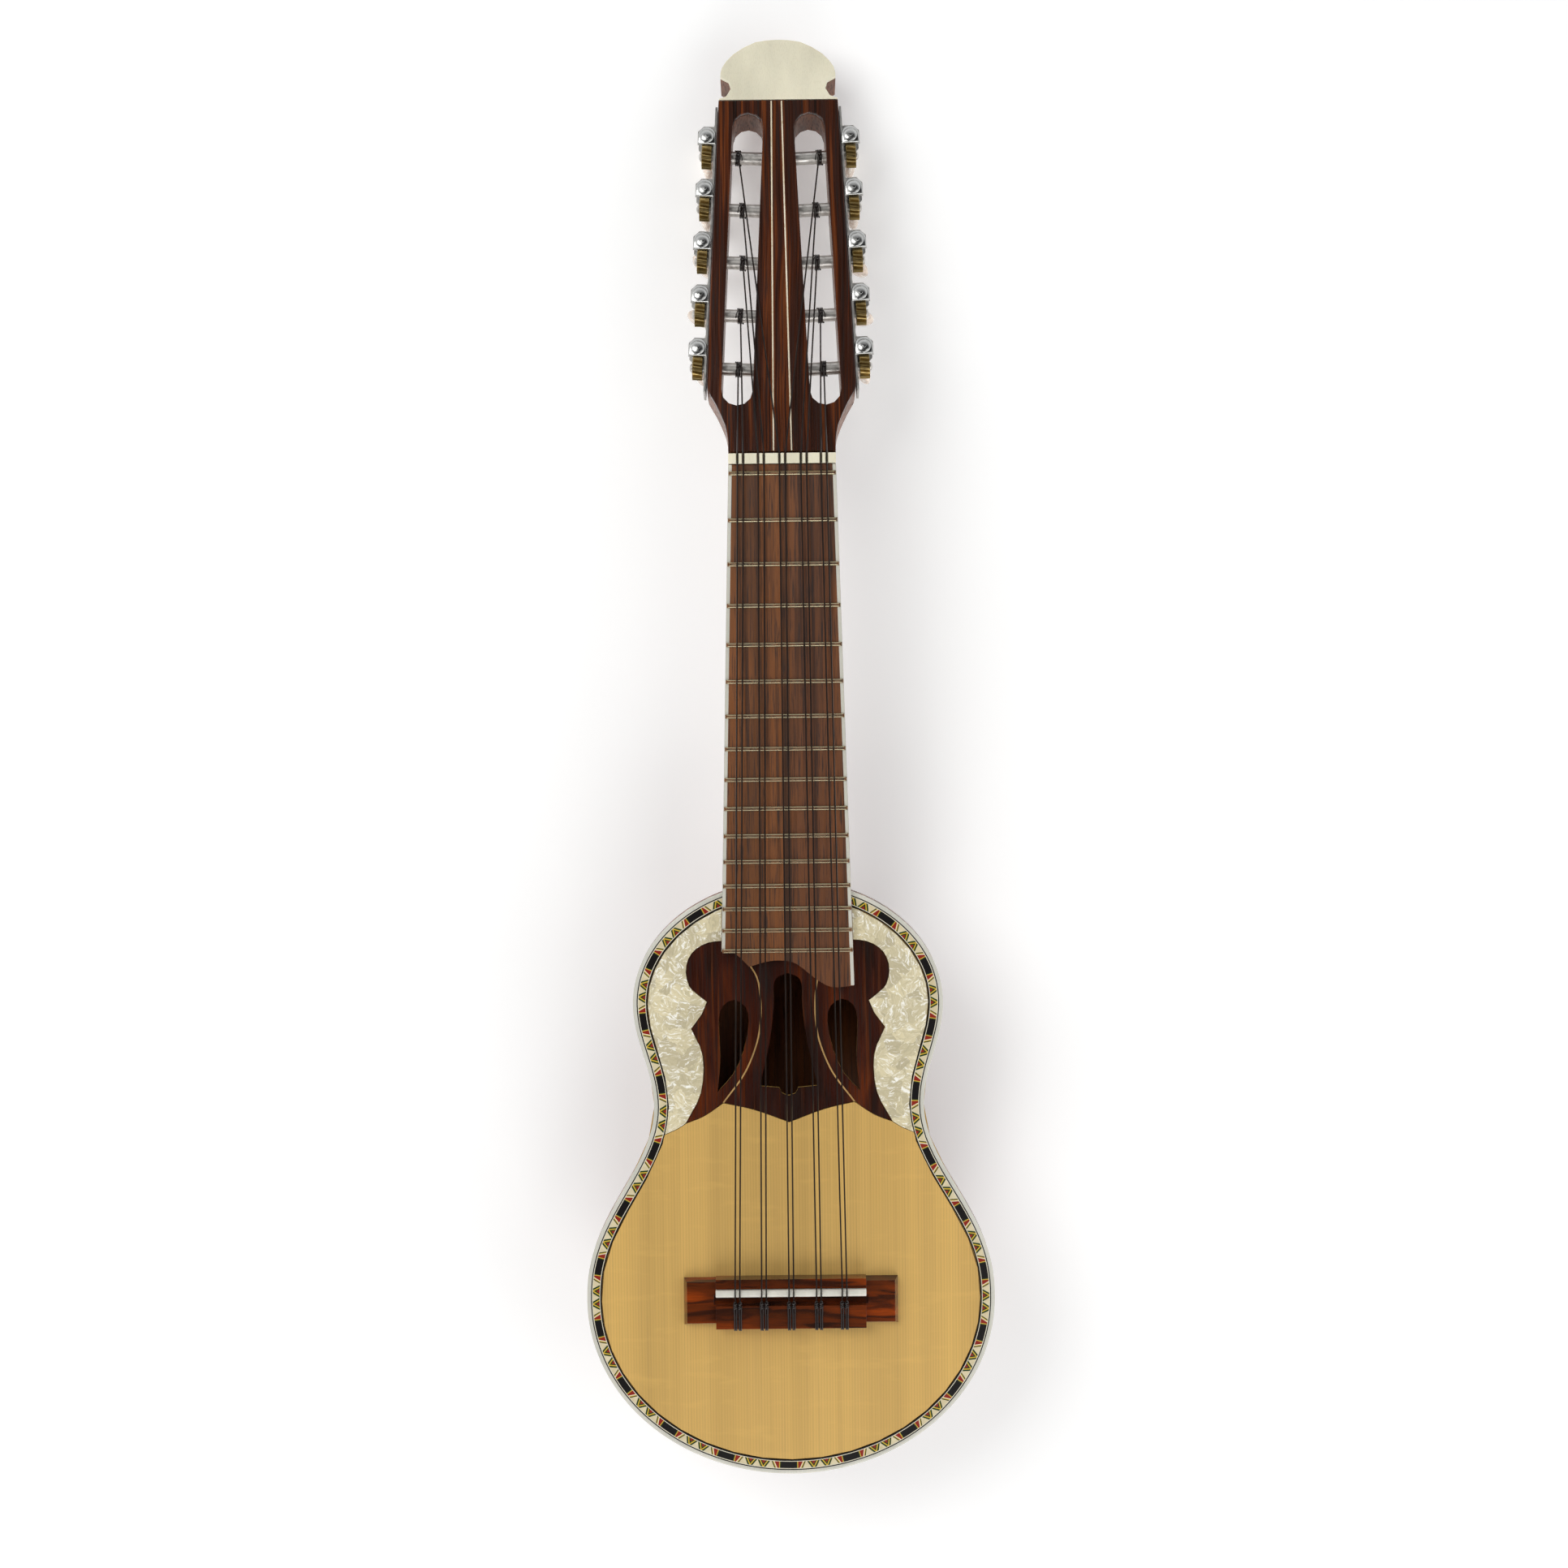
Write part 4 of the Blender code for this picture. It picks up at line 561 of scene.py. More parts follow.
def wire(points, radius, name, resolution=3, steps=6):
    """A round wire along a smooth curve through the points, as a mesh object."""
    curve = bpy.data.curves.new(name, "CURVE")
    curve.dimensions = "3D"
    curve.bevel_depth = radius
    curve.bevel_resolution = resolution
    curve.use_fill_caps = True
    path = curve.splines.new("POLY")
    smooth = smooth_path(points, steps)
    path.points.add(len(smooth) - 1)
    for spot, point in zip(path.points, smooth):
        spot.co = (*point, 1)
    made = bpy.data.objects.new(name, curve)
    bpy.context.scene.collection.objects.link(made)
    return plain_mesh(made, name)


def smooth_path(points, steps):
    """A Catmull-Rom curve through the points."""
    rows = [Vector(p) for p in points]
    rows = [2 * rows[0] - rows[1]] + rows + [2 * rows[-1] - rows[-2]]
    curve = []
    for a, b, c, d in zip(rows, rows[1:], rows[2:], rows[3:]):
        for k in range(steps):
            t = k / steps
            curve.append(0.5 * (2 * b + (c - a) * t + (2 * a - 5 * b + 4 * c - d) * t ** 2
                                + (3 * b - a - 3 * c + d) * t ** 3))
    curve.append(rows[-2])
    return curve


def joined(parts, name):
    """Several mesh objects as one."""
    work = bmesh.new()
    for part in parts:
        work.from_mesh(part.data)
        bpy.data.objects.remove(part, do_unlink=True)
    mesh = bpy.data.meshes.new(name)
    work.to_mesh(mesh)
    work.free()
    made = bpy.data.objects.new(name, mesh)
    bpy.context.scene.collection.objects.link(made)
    return made


# ---------------------------------------------------------------- Geometry Nodes

def node_tree(name, sizes):
    """A Geometry Nodes tree with a geometry in and out and a named input for each size."""
    tree = bpy.data.node_groups.new(name, "GeometryNodeTree")
    tree.interface.new_socket("Geometry", in_out="INPUT", socket_type="NodeSocketGeometry")
    for label, (kind, default) in sizes.items():
        socket = tree.interface.new_socket(label, in_out="INPUT", socket_type="NodeSocket" + kind)
        if default is not None:
            socket.default_value = default
    tree.interface.new_socket("Geometry", in_out="OUTPUT", socket_type="NodeSocketGeometry")
    return tree, add_node(tree, "NodeGroupInput").outputs


def finish_tree(tree, geometry, look):
    """Realises the instances, sets the material and closes the tree."""
    real = add_node(tree, "GeometryNodeRealizeInstances", {"Geometry": geometry})
    painted = add_node(tree, "GeometryNodeSetMaterial", {"Geometry": real.outputs[0], "Material": look})
    add_node(tree, "NodeGroupOutput", {"Geometry": painted.outputs[0]})


def grown(name, tree, values, points=(), turns=()):
    """The tree's result on loose points, each with its own turn, as a plain mesh."""
    mesh = bpy.data.meshes.new(name)
    mesh.from_pydata(list(points) or [(0, 0, 0)], [], [])
    if turns:
        layer = mesh.attributes.new("turn", "QUATERNION", "POINT")
        for item, turn in zip(layer.data, turns):
            item.value = tuple(turn)
    holder = bpy.data.objects.new(name, mesh)
    bpy.context.scene.collection.objects.link(holder)
    growth = holder.modifiers.new("growth", "NODES")
    growth.node_group = tree
    ids = {item.name: item.identifier for item in tree.interface.items_tree if item.in_out == "INPUT"}
    for label, value in values.items():
        growth[ids[label]] = value
    return plain_mesh(holder, name)


def spread_on_points(tree, points, shape):
    """Instances of a shape on the points, each turned by its point's own turn."""
    turn = add_node(tree, "GeometryNodeInputNamedAttribute", {"Name": "turn"}, data_type="QUATERNION")
    spread = add_node(tree, "GeometryNodeInstanceOnPoints",
                      {"Points": points, "Instance": shape, "Rotation": turn.outputs[0]})
    return spread.outputs[0]


def fret_tree(look):
    """Half-round bars at equal-tempered distances from the zero fret, each as long as the board there."""
    tree, given = node_tree("frets", {
        "Count": ("Int", 16), "String Length": ("Float", 0.37), "Zero Fret": ("Float", 0.0),
        "Half Width": ("Float", 0.024), "Taper": ("Float", 0.0262), "Crown Width": ("Float", 0.002),
        "Crown Height": ("Float", 0.001), "Base Height": ("Float", 0.078)})
    line = add_node(tree, "GeometryNodeMeshLine", {"Count": given["Count"]})
    number = add_node(tree, "GeometryNodeInputIndex").outputs[0]
    share = maths(tree, "POWER", 2.0, maths(tree, "DIVIDE", number, -12.0))
    past = maths(tree, "MULTIPLY", maths(tree, "SUBTRACT", 1.0, share), given["String Length"])
    station = maths(tree, "SUBTRACT", given["Zero Fret"], past)
    spot = add_node(tree, "ShaderNodeCombineXYZ", {"Y": station, "Z": given["Base Height"]})
    placed = add_node(tree, "GeometryNodeSetPosition", {"Geometry": line.outputs[0],
                                                       "Position": spot.outputs[0]})
    half = maths(tree, "ADD", given["Half Width"], maths(tree, "MULTIPLY", past, given["Taper"]))
    bar = add_node(tree, "GeometryNodeMeshCylinder",
                   {"Vertices": 20, "Side Segments": 1, "Radius": 0.5, "Depth": 1.0})
    lying = add_node(tree, "GeometryNodeTransform",
                     {"Geometry": bar.outputs[0], "Rotation": (0, math.pi / 2, 0)})
    size = add_node(tree, "ShaderNodeCombineXYZ",
                    {"X": maths(tree, "MULTIPLY", half, 2.0), "Y": given["Crown Width"],
                     "Z": maths(tree, "MULTIPLY", given["Crown Height"], 2.0)})
    bars = add_node(tree, "GeometryNodeInstanceOnPoints",
                    {"Points": placed.outputs[0], "Instance": lying.outputs[0], "Scale": size.outputs[0]})
    ball = add_node(tree, "GeometryNodeMeshUVSphere", {"Segments": 16, "Rings": 8, "Radius": 0.5})
    ends = []
    for side in (-1, 1):
        place = add_node(tree, "ShaderNodeCombineXYZ",
                         {"X": maths(tree, "MULTIPLY", half, float(side)), "Y": station,
                          "Z": given["Base Height"]})
        moved = add_node(tree, "GeometryNodeSetPosition",
                         {"Geometry": line.outputs[0], "Position": place.outputs[0]})
        round_size = add_node(tree, "ShaderNodeCombineXYZ",
                              {"X": given["Crown Width"], "Y": given["Crown Width"],
                               "Z": maths(tree, "MULTIPLY", given["Crown Height"], 2.0)})
        ends.append(add_node(tree, "GeometryNodeInstanceOnPoints",
                             {"Points": moved.outputs[0], "Instance": ball.outputs[0],
                              "Scale": round_size.outputs[0]}).outputs[0])
    both = add_node(tree, "GeometryNodeJoinGeometry")
    for geometry in (bars.outputs[0], *ends):
        tree.links.new(geometry, both.inputs[0])
    finish_tree(tree, both.outputs[0], look)
    return tree


def screw_tree(look):
    """Small domed screws with a straight slot."""
    tree, given = node_tree("slotted_screws", {"Head Radius": ("Float", 0.0015),
                                               "Head Height": ("Float", 0.0008),
                                               "Slot Width": ("Float", 0.0004)})
    ball = add_node(tree, "GeometryNodeMeshUVSphere", {"Segments": 20, "Rings": 10, "Radius": 1.0})
    size = add_node(tree, "ShaderNodeCombineXYZ", {"X": given["Head Radius"], "Y": given["Head Radius"],
                                                   "Z": given["Head Height"]})
    dome = add_node(tree, "GeometryNodeTransform", {"Geometry": ball.outputs[0], "Scale": size.outputs[0]})
    cut_size = add_node(tree, "ShaderNodeCombineXYZ",
                        {"X": maths(tree, "MULTIPLY", given["Head Radius"], 3.0),
                         "Y": given["Slot Width"], "Z": given["Head Height"]})
    slot = add_node(tree, "GeometryNodeMeshCube", {"Size": cut_size.outputs[0]})
    raised = add_node(tree, "GeometryNodeTransform",
                      {"Geometry": slot.outputs[0],
                       "Translation": add_node(tree, "ShaderNodeCombineXYZ",
                                               {"Z": given["Head Height"]}).outputs[0]})
    cut = add_node(tree, "GeometryNodeMeshBoolean", {"Mesh 1": dome.outputs[0], "Mesh 2": raised.outputs[0]},
                   operation="DIFFERENCE", solver="EXACT")
    finish_tree(tree, spread_on_points(tree, given["Geometry"], cut.outputs[0]), look)
    return tree


def winding_tree(look):
    """A string wound on a roller that lies along each point's own Z."""
    tree, given = node_tree("string_winding", {"Turns": ("Float", 3.5), "Coil Radius": ("Float", 0.003),
                                               "String Radius": ("Float", 0.00035)})
    rise = maths(tree, "MULTIPLY", maths(tree, "MULTIPLY", given["Turns"], given["String Radius"]), 2.15)
    spiral = add_node(tree, "GeometryNodeCurveSpiral",
                      {"Resolution": 28, "Rotations": given["Turns"], "Start Radius": given["Coil Radius"],
                       "End Radius": given["Coil Radius"], "Height": rise})
    low = add_node(tree, "ShaderNodeCombineXYZ", {"Z": maths(tree, "MULTIPLY", rise, -0.5)})
    centred = add_node(tree, "GeometryNodeTransform", {"Geometry": spiral.outputs[0],
                                                      "Translation": low.outputs[0]})
    ring = add_node(tree, "GeometryNodeCurvePrimitiveCircle",
                    {"Resolution": 10, "Radius": given["String Radius"]})
    tube = add_node(tree, "GeometryNodeCurveToMesh", {"Curve": centred.outputs[0],
                                                     "Profile Curve": ring.outputs[0], "Fill Caps": True})
    finish_tree(tree, spread_on_points(tree, given["Geometry"], tube.outputs[0]), look)
    return tree


# ---------------------------------------------------------------- body outline

def edge_half(steps=4):
    """Right half of the body's edge as (x, station): ellipses joined by a waist, in metres."""
    lower, waist, upper = 93.5 * MM, 61.5 * MM, 70.5 * MM
    low_at, waist_at, high_at, end = 82 * MM, 172 * MM, UPPER_BOUT, BODY_LENGTH
    points = []
    for k in range(1, 10 * steps + 1):
        turn = math.radians(9 * k / steps)
        points.append((lower * math.sin(turn), low_at * (1 - math.cos(turn))))
    for start, stop, wide, narrow, count, lean in ((low_at, waist_at, lower, waist, 6, 1.15),
                                                   (waist_at, high_at, waist, upper, 4, 1.0)):
        for k in range(1, count * steps + 1):
            share = k / (count * steps)
            blend = (1 + math.cos(math.pi * share ** lean)) / 2
            points.append((narrow + (wide - narrow) * blend, start + (stop - start) * share))
    for k in range(1, 9 * steps):
        turn = math.radians(10 * k / steps)
        points.append((upper * math.cos(turn), high_at + (end - high_at) * math.sin(turn)))
    return points


def edge_inset(inset):
    """The right half moved inwards by a distance."""
    whole = [(0, 0)] + edge_half() + [(0, BODY_LENGTH)]
    moved = []
    for before, spot, after in zip(whole, whole[1:], whole[2:]):
        along = Vector((after[0] - before[0], after[1] - before[1])).normalized()
        moved.append((spot[0] - along.y * inset, spot[1] + along.x * inset))
    return [(0, inset)] + moved


def board_half_width(y):
    """Half-width of the neck and fingerboard at a place along Y."""
    return NUT_HALF_WIDTH + NECK_TAPER * (ZERO_FRET - y)


def rim_band(name, outer, inner, low, high, crown=0.0):
    """A band that follows the rim between two insets, from one side of the neck to the other.

    Its UV map "strip" runs in millimetres: U along the edge, V inwards.
    """
    insets = [outer + (inner - outer) * k / 4 for k in range(5)]
    rows = [edge_inset(inset) for inset in insets]
    kept = [i for i, (_, q) in enumerate(rows[0])
            if not (q > UPPER_BOUT and rows[-1][i][0] < board_half_width(TAIL + q) - 3 * MM)]
    work = bmesh.new()
    layer = work.loops.layers.uv.new("strip")
    run = 0.0
    runs = [0.0]
    for i in kept[1:]:
        a, b = Vector(rows[0][i - 1]), Vector(rows[0][i])
        run += (b - a).length
        runs.append(run)
    for side in (1, -1):
        grid = []
        for i in kept:
            column = []
            for k, row in enumerate(rows):
                rise = crown * (1 - (k / 2 - 1) ** 2)
                column.append(work.verts.new((side * row[i][0], TAIL + row[i][1], high + rise)))
            column.append(work.verts.new((side * rows[-1][i][0], TAIL + rows[-1][i][1], low)))
            column.append(work.verts.new((side * rows[0][i][0], TAIL + rows[0][i][1], low)))
            grid.append(column)
        places = [insets[k] / MM for k in range(5)] + [insets[-1] / MM, insets[0] / MM]
        for n in range(len(grid) - 1):
            for k in range(7):
                j = (k + 1) % 7
                corners = (grid[n][k], grid[n + 1][k], grid[n + 1][j], grid[n][j])
                face = work.faces.new(corners)
                spots = ((n, k), (n + 1, k), (n + 1, j), (n, j))
                for loop, (at, which) in zip(face.loops, spots):
                    loop[layer].uv = (side * runs[at] / MM + 2.0, places[which])
        work.faces.new(grid[-1])
    bmesh.ops.remove_doubles(work, verts=work.verts, dist=0.002 * MM)
    return piece_from(work, name)


# ---------------------------------------------------------------- tuner places

def tuner_frame(side, number):
    """Placement at a worm's middle: X square to the head's side, Y to the crest, Z out of the face."""
    tag = f"{side}_{number}"
    worm = Vector(JOINTS["button_turn_" + tag]["pos_m"])
    wheel = Vector(JOINTS["roller_turn_" + tag]["pos_m"])
    along = (worm - wheel).normalized()
    across = along.cross(HEAD_NORMAL)
    turn = Matrix((across, along, HEAD_NORMAL)).transposed().to_4x4()
    return Matrix.Translation(worm) @ turn


def place_on(piece, matrix):
    piece.data.transform(matrix)
    if matrix.determinant() < 0:
        piece.data.flip_normals()
    return piece


# Heights are from a worm's middle, along its shaft.
BUTTON_TURNS = (20, 75, 50, 5, 0)  # degrees, from the nut to the crest
SHAFT_TOP = 6.5 * MM
LUG_FRONT = 6.2 * MM
BUTTON_TOP = -17.3 * MM
GEAR_PITCH_RADIUS = 4.8 * MM
GEAR_TEETH = 14
WORM_LEAD = 2 * math.pi * GEAR_PITCH_RADIUS / GEAR_TEETH


# ---------------------------------------------------------------- operators

class CharangoOperator(bpy.types.Operator):
    """Base of the charango's operators."""
    bl_idname = "charango.base"
    bl_label = "Charango step"
    bl_options = {"REGISTER", "UNDO"}

    def execute(self, context):
        self.build(context.scene)
        return {"FINISHED"}


class CHARANGO_OT_looks(CharangoOperator):
    """Make the woods, plastics and metals, and finish the pieces that keep their CAD shape"""
    bl_idname = "charango.looks"
    bl_label = "Materials"

    def build(self, scene):
        build_looks(scene)
        kept = {"soundboard": "top", "neck_block": "brace", "upper_brace": "brace",
                "lower_brace": "brace", "rosette_bell": "rosette", "rosette_wing_left": "rosette",
                "rosette_wing_right": "rosette", "pearl_inlay_left": "pearl",
                "pearl_inlay_right": "pearl", "fingerboard": "board"}
        kept.update({f"string_{n}": "nylon" for n in range(1, 11)})
        for name, look in kept.items():
            NODES[name].data.materials.clear()
            NODES[name].data.materials.append(LOOKS[look])


class CHARANGO_OT_bowl(CharangoOperator):
    """Carve the bowl with a smooth back, in the shape of its CAD solid"""
    bl_idname = "charango.bowl"
    bl_label = "Bowl"
    WALL = 4.5 * MM
    BACK_FLAT = (65 * MM, 161 * MM)  # where the back's spine runs straight
    BACK_RISE = 0.16  # share of the depth by which the spine rises towards the heel
    RIM_HEIGHT = 4 * MM

    def build(self, scene):
        outline = [(0, 0)] + edge_half(3) + [(0, BODY_LENGTH)]
        outline += [(-x, q) for x, q in reversed(outline[1:-1])]
        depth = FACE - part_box("bowl")[0].z
        outer = self.rings(outline, 0.0, depth)
        inner = self.rings(outline, self.WALL, depth - self.WALL)
        shell = loft(list(reversed(outer)) + inner, "bowl_shell")
        settle(shell, "body", smooth=50)
        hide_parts("bowl")

    def rings(self, outline, inset, depth):
        """Outlines from the rim down to the back, each moved inwards by the inset."""
        start, stop = self.BACK_FLAT
        rim = FACE - 2.8 * MM
        moved = []
        for i, (x, q) in enumerate(outline):
            before, after = outline[i - 1], outline[(i + 1) % len(outline)]
            along = Vector((after[0] - before[0], after[1] - before[1])).normalized()
            moved.append((x - along.y * inset, q + along.x * inset))
        rings = [[(x, TAIL + q, height) for x, q in moved] for height in (rim, rim - self.RIM_HEIGHT)]
        last = math.radians(86)
        flat_end = stop + (BODY_LENGTH - stop) * math.cos(last) ** 0.75
        for degrees in (9, 16, 23, 30, 37, 43, 49, 55, 61, 66, 71, 75, 79, 82.5, 86):
            turn = math.radians(degrees)
            ring = []
            for x, q in moved:
                spine = (start + stop) / 2 + (q - BODY_LENGTH / 2) * (stop - start) / BODY_LENGTH
                station = spine + (q - spine) * math.cos(turn) ** 0.75
                beyond = max(0.0, (station - flat_end) / (BODY_LENGTH - flat_end))
                share = (math.sin(turn) / math.sin(last)) ** 0.9
                deep = depth * (1 - self.BACK_RISE * beyond ** 2) * share
                ring.append((x * math.cos(turn) ** 0.6, TAIL + station,
                             min(FACE - deep, rim - self.RIM_HEIGHT)))
            rings.append(ring)
        return rings


class CHARANGO_OT_neck(CharangoOperator):
    """Ease and polish the neck, and face the head with veneer, stripes and the crest plate"""
    bl_idname = "charango.neck"
    bl_label = "Neck and head"

    def build(self, scene):
        finished_copy("neck", "neck_and_head", "body", 0.35 * MM, 38)
        finished_copy("head_veneer", "head_face", "head", 0.25 * MM, 38)
        finished_copy("head_crest", "crest_plate", "ivory", 0.3 * MM, 38)
        self.stripes(scene)

    @staticmethod
    def stripes(scene):
        """Two pale lines let into the veneer, from the nut to the crest."""
        half = scene.charango_trim.stripe_width / 2
        start, end = 1.2 * MM, 168 * MM
        lines = []
        for near, far in ((-3.8 * MM, -3.2 * MM), (4.3 * MM, 1.5 * MM)):
            corners = ((near - half, start), (near + half, start), (far + half, end), (far - half, end))
            lines.append(loft([[HEAD_ORIGIN + Vector((x, 0, 0)) + HEAD_ALONG * along + HEAD_NORMAL * height
                                for x, along in corners] for height in (-0.5 * MM, 0.03 * MM)], "stripe"))
        settle(joined(lines, "head_stripes"), "stripe")


class CHARANGO_OT_rim(CharangoOperator):
    """Lay the binding and the marquetry round the soundboard's edge"""
    bl_idname = "charango.rim"
    bl_label = "Rim"

    def build(self, scene):
        trim = scene.charango_trim
        low = FACE - 1.2 * MM
        binding = rim_band("edge_binding", 0.0, trim.binding_width, low, FACE + 0.02 * MM, 0.12 * MM)
        settle(binding, "binding")
        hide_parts("rim_ring")
        band = rim_band("rim_marquetry", trim.binding_width, trim.ring_width, low, FACE + 0.01 * MM)
        for item in band.data.uv_layers["strip"].data:
            item.uv[1] -= trim.binding_width / MM
        settle(band, "marquetry")


class CHARANGO_OT_rosette_lines(CharangoOperator):
    """Set the pale curved lines between the rosette's bell and its wings"""
    bl_idname = "charango.rosette_lines"
    bl_label = "Rosette lines"

    def build(self, scene):
        points = ((29.9, -45.5), (20, -31.9), (14.2, -17.7), (12.4, -5.7), (12.6, 4.3), (14, 12),
                  (17.6, 18.4))
        middle = TAIL + UPPER_BOUT
        path = smooth_path([(x * MM, middle + y * MM, 0) for x, y in points], 6)
        half = 0.34 * MM
        low, high = FACE - 0.8 * MM, FACE + 0.02 * MM
        lines = []
        for side, last in ((1, 12.1 * MM), (-1, 17.5 * MM)):
            rings = []
            for before, spot, after in zip([path[0]] + path, path, path[1:] + [path[-1]]):
                if spot.y - middle > last:
                    break
                along = (after - before).normalized()
                out = Vector((-along.y, along.x, 0)) * half
                rings.append([(side * p.x, p.y, z) for p, z in ((spot + out, low), (spot - out, low),
                                                                (spot - out, high), (spot + out, high))])
            lines.append(loft(rings, "line"))
        settle(joined(lines, "rosette_lines"), "line")


class CHARANGO_OT_fingerboard(CharangoOperator):
    """Fit the frets and the pale strips along the fingerboard's sides"""
    bl_idname = "charango.fingerboard"
    bl_label = "Frets and bindings"

    def build(self, scene):
        trim = scene.charango_trim
        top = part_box("fingerboard")[1].z - 1 * MM
        frets = grown("frets", fret_tree(LOOKS["fret"]), {
            "Count": 16, "String Length": STRING_LENGTH, "Zero Fret": ZERO_FRET,
            "Half Width": NUT_HALF_WIDTH - 1 * MM, "Taper": NECK_TAPER, "Crown Width": trim.fret_width,
            "Crown Height": 1.02 * MM, "Base Height": top})
        settle(frets, "fret")
        width = trim.board_binding
        strips = []
        for side, end in ((1, TAIL + 227.6 * MM), (-1, TAIL + 243.6 * MM)):
            rings = []
            for y in (end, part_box("fingerboard")[1].y):
                edge = board_half_width(y) + 0.04 * MM
                rings.append([(side * x, y, top + z) for x, z in (
                    (edge, -3.9 * MM), (edge, -0.1 * MM), (edge - 0.15 * MM, 0.05 * MM),
                    (edge - width, 0.05 * MM), (edge - width, -3.9 * MM))])
            strips.append(loft(rings, "strip"))
        settle(joined(strips, "fingerboard_bindings"), "binding")


class CHARANGO_OT_bridge(CharangoOperator):
    """Polish the bridge, the saddle and the nut"""
    bl_idname = "charango.bridge"
    bl_label = "Bridge, saddle and nut"

    def build(self, scene):
        finished_copy("bridge", "bridge_block", "bridge", 0.3 * MM)
        finished_copy("saddle", "saddle_bone", "bone", 0.25 * MM)
        finished_copy("nut", "nut_block", "ivory", 0.2 * MM)


class CHARANGO_OT_ties(CharangoOperator):
    """Tie each string round the bridge's tie block"""
    bl_idname = "charango.ties"
    bl_label = "Bridge knots"

    def build(self, scene):
        radius = scene.charango_strings.diameter / 2
        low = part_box("bridge")[0]
        back, front = low.y, low.y + 10.5 * MM
        top = low.z + 7 * MM + radius
        parts = []
        for number in range(1, 11):
            x = self.string_start(number)
            lean = -1 if number % 2 else 1
            for scale in (1, -1):
                side = lean * scale
                parts.append(wire([
                    (x, back - 0.3 * MM, top - 3.3 * MM),
                    (x + side * 0.3 * MM, back - 0.9 * MM, top - 2.2 * MM),
                    (x + side * 0.42 * MM, back - 0.35 * MM, top - 0.2 * MM),
                    (x + side * 0.45 * MM, back + 1.6 * MM, top + 0.12 * MM),
                    (x + side * 0.42 * MM, back + 5.5 * MM, top + 0.1 * MM),
                    (x + side * 0.5 * MM, front - 1.2 * MM, top + 0.15 * MM),
                    (x - side * 0.1 * MM, front + 0.6 * MM, top - 0.3 * MM),
                    (x - side * 0.55 * MM, front + 1.5 * MM, top - 0.6 * MM),
                    (x, front + 2.3 * MM, top - 0.2 * MM + 0.3 * MM * scale)], radius * 0.92,
                    "tie", 2, 5))
            for k in range(3):
                middle = Vector((x, front - 0.6 * MM + k * 0.75 * MM, top + 0.1 * MM - 0.25 * MM * k))
                ring = [middle + Vector((math.cos(t) * 0.8 * MM, math.sin(2 * t) * 0.25 * MM,
                                         math.sin(t) * 0.75 * MM))
                        for t in (n * math.pi / 4 + k for n in range(9))]
                parts.append(wire(ring, radius * 0.8, "wrap", 2, 4))
        settle(joined(parts, "bridge_knots"), "nylon", smooth=60)

    @staticmethod
    def string_start(number):
        """The string's x where it leaves the tie block."""
        spots = [v.co for v in NODES[f"string_{number}"].data.vertices]
        first = min(p.y for p in spots)
        near = [p.x for p in spots if p.y < first + 1 * MM]
        return (min(near) + max(near)) / 2


class CHARANGO_OT_windings(CharangoOperator):
    """Wind and knot each string on its roller, turning with it"""
    bl_idname = "charango.windings"
    bl_label = "String windings"

    def build(self, scene):
        strings = scene.charango_strings
        radius = strings.diameter / 2
        tree = winding_tree(LOOKS["nylon"])
        for number in range(1, 11):
            side = "left" if number <= 5 else "right"
            index = number if number <= 5 else 11 - number
            joint = JOINTS[f"roller_turn_{side}_{index}"]
            axis, origin = Vector(joint["axis"]), Vector(joint["pos_m"])
            end = self.string_end(number)
            middle = origin + axis * (end - origin).dot(axis)
            turn = axis.to_track_quat("Z", "Y")
            coil = grown("coil", tree, {"Turns": strings.turns, "Coil Radius": 2.95 * MM + radius,
                                        "String Radius": radius}, [middle], [turn])
            up = (end - middle).normalized()
            along = axis.cross(up)
            knot = []
            for k in range(13):
                t = k * 2 * math.pi * 2 / 12 + number
                knot.append(end + up * (0.5 * MM + 0.35 * MM * math.sin(1.5 * t))
                            + axis * 0.62 * MM * math.cos(t) + along * 0.75 * MM * math.sin(t))
            reach = 1 if number % 2 else -1
            tail = [end + up * 0.6 * MM, end + up * 1.2 * MM + axis * reach * 0.9 * MM,
                    end + up * 0.7 * MM + axis * reach * 1.7 * MM + along * 1.3 * MM,
                    end - up * 0.6 * MM + axis * reach * 2.0 * MM + along * 2.9 * MM]
            parts = [coil, wire(knot, radius * 0.95, "knot", 2, 3), wire(tail, radius * 0.8, "tail", 2, 4)]
            name = f"string_winding_{side}_{index}"
            settle(joined(parts, name), "nylon", f"roller_{side}_{index}", 60)

    @staticmethod
    def string_end(number):
        """Middle of the string's end face on its roller."""
        spots = [v.co for v in NODES[f"string_{number}"].data.vertices]
        last = max(p.y for p in spots)
        near = [p for p in spots if p.y > last - 0.3 * MM]
        return sum(near, Vector()) / len(near)


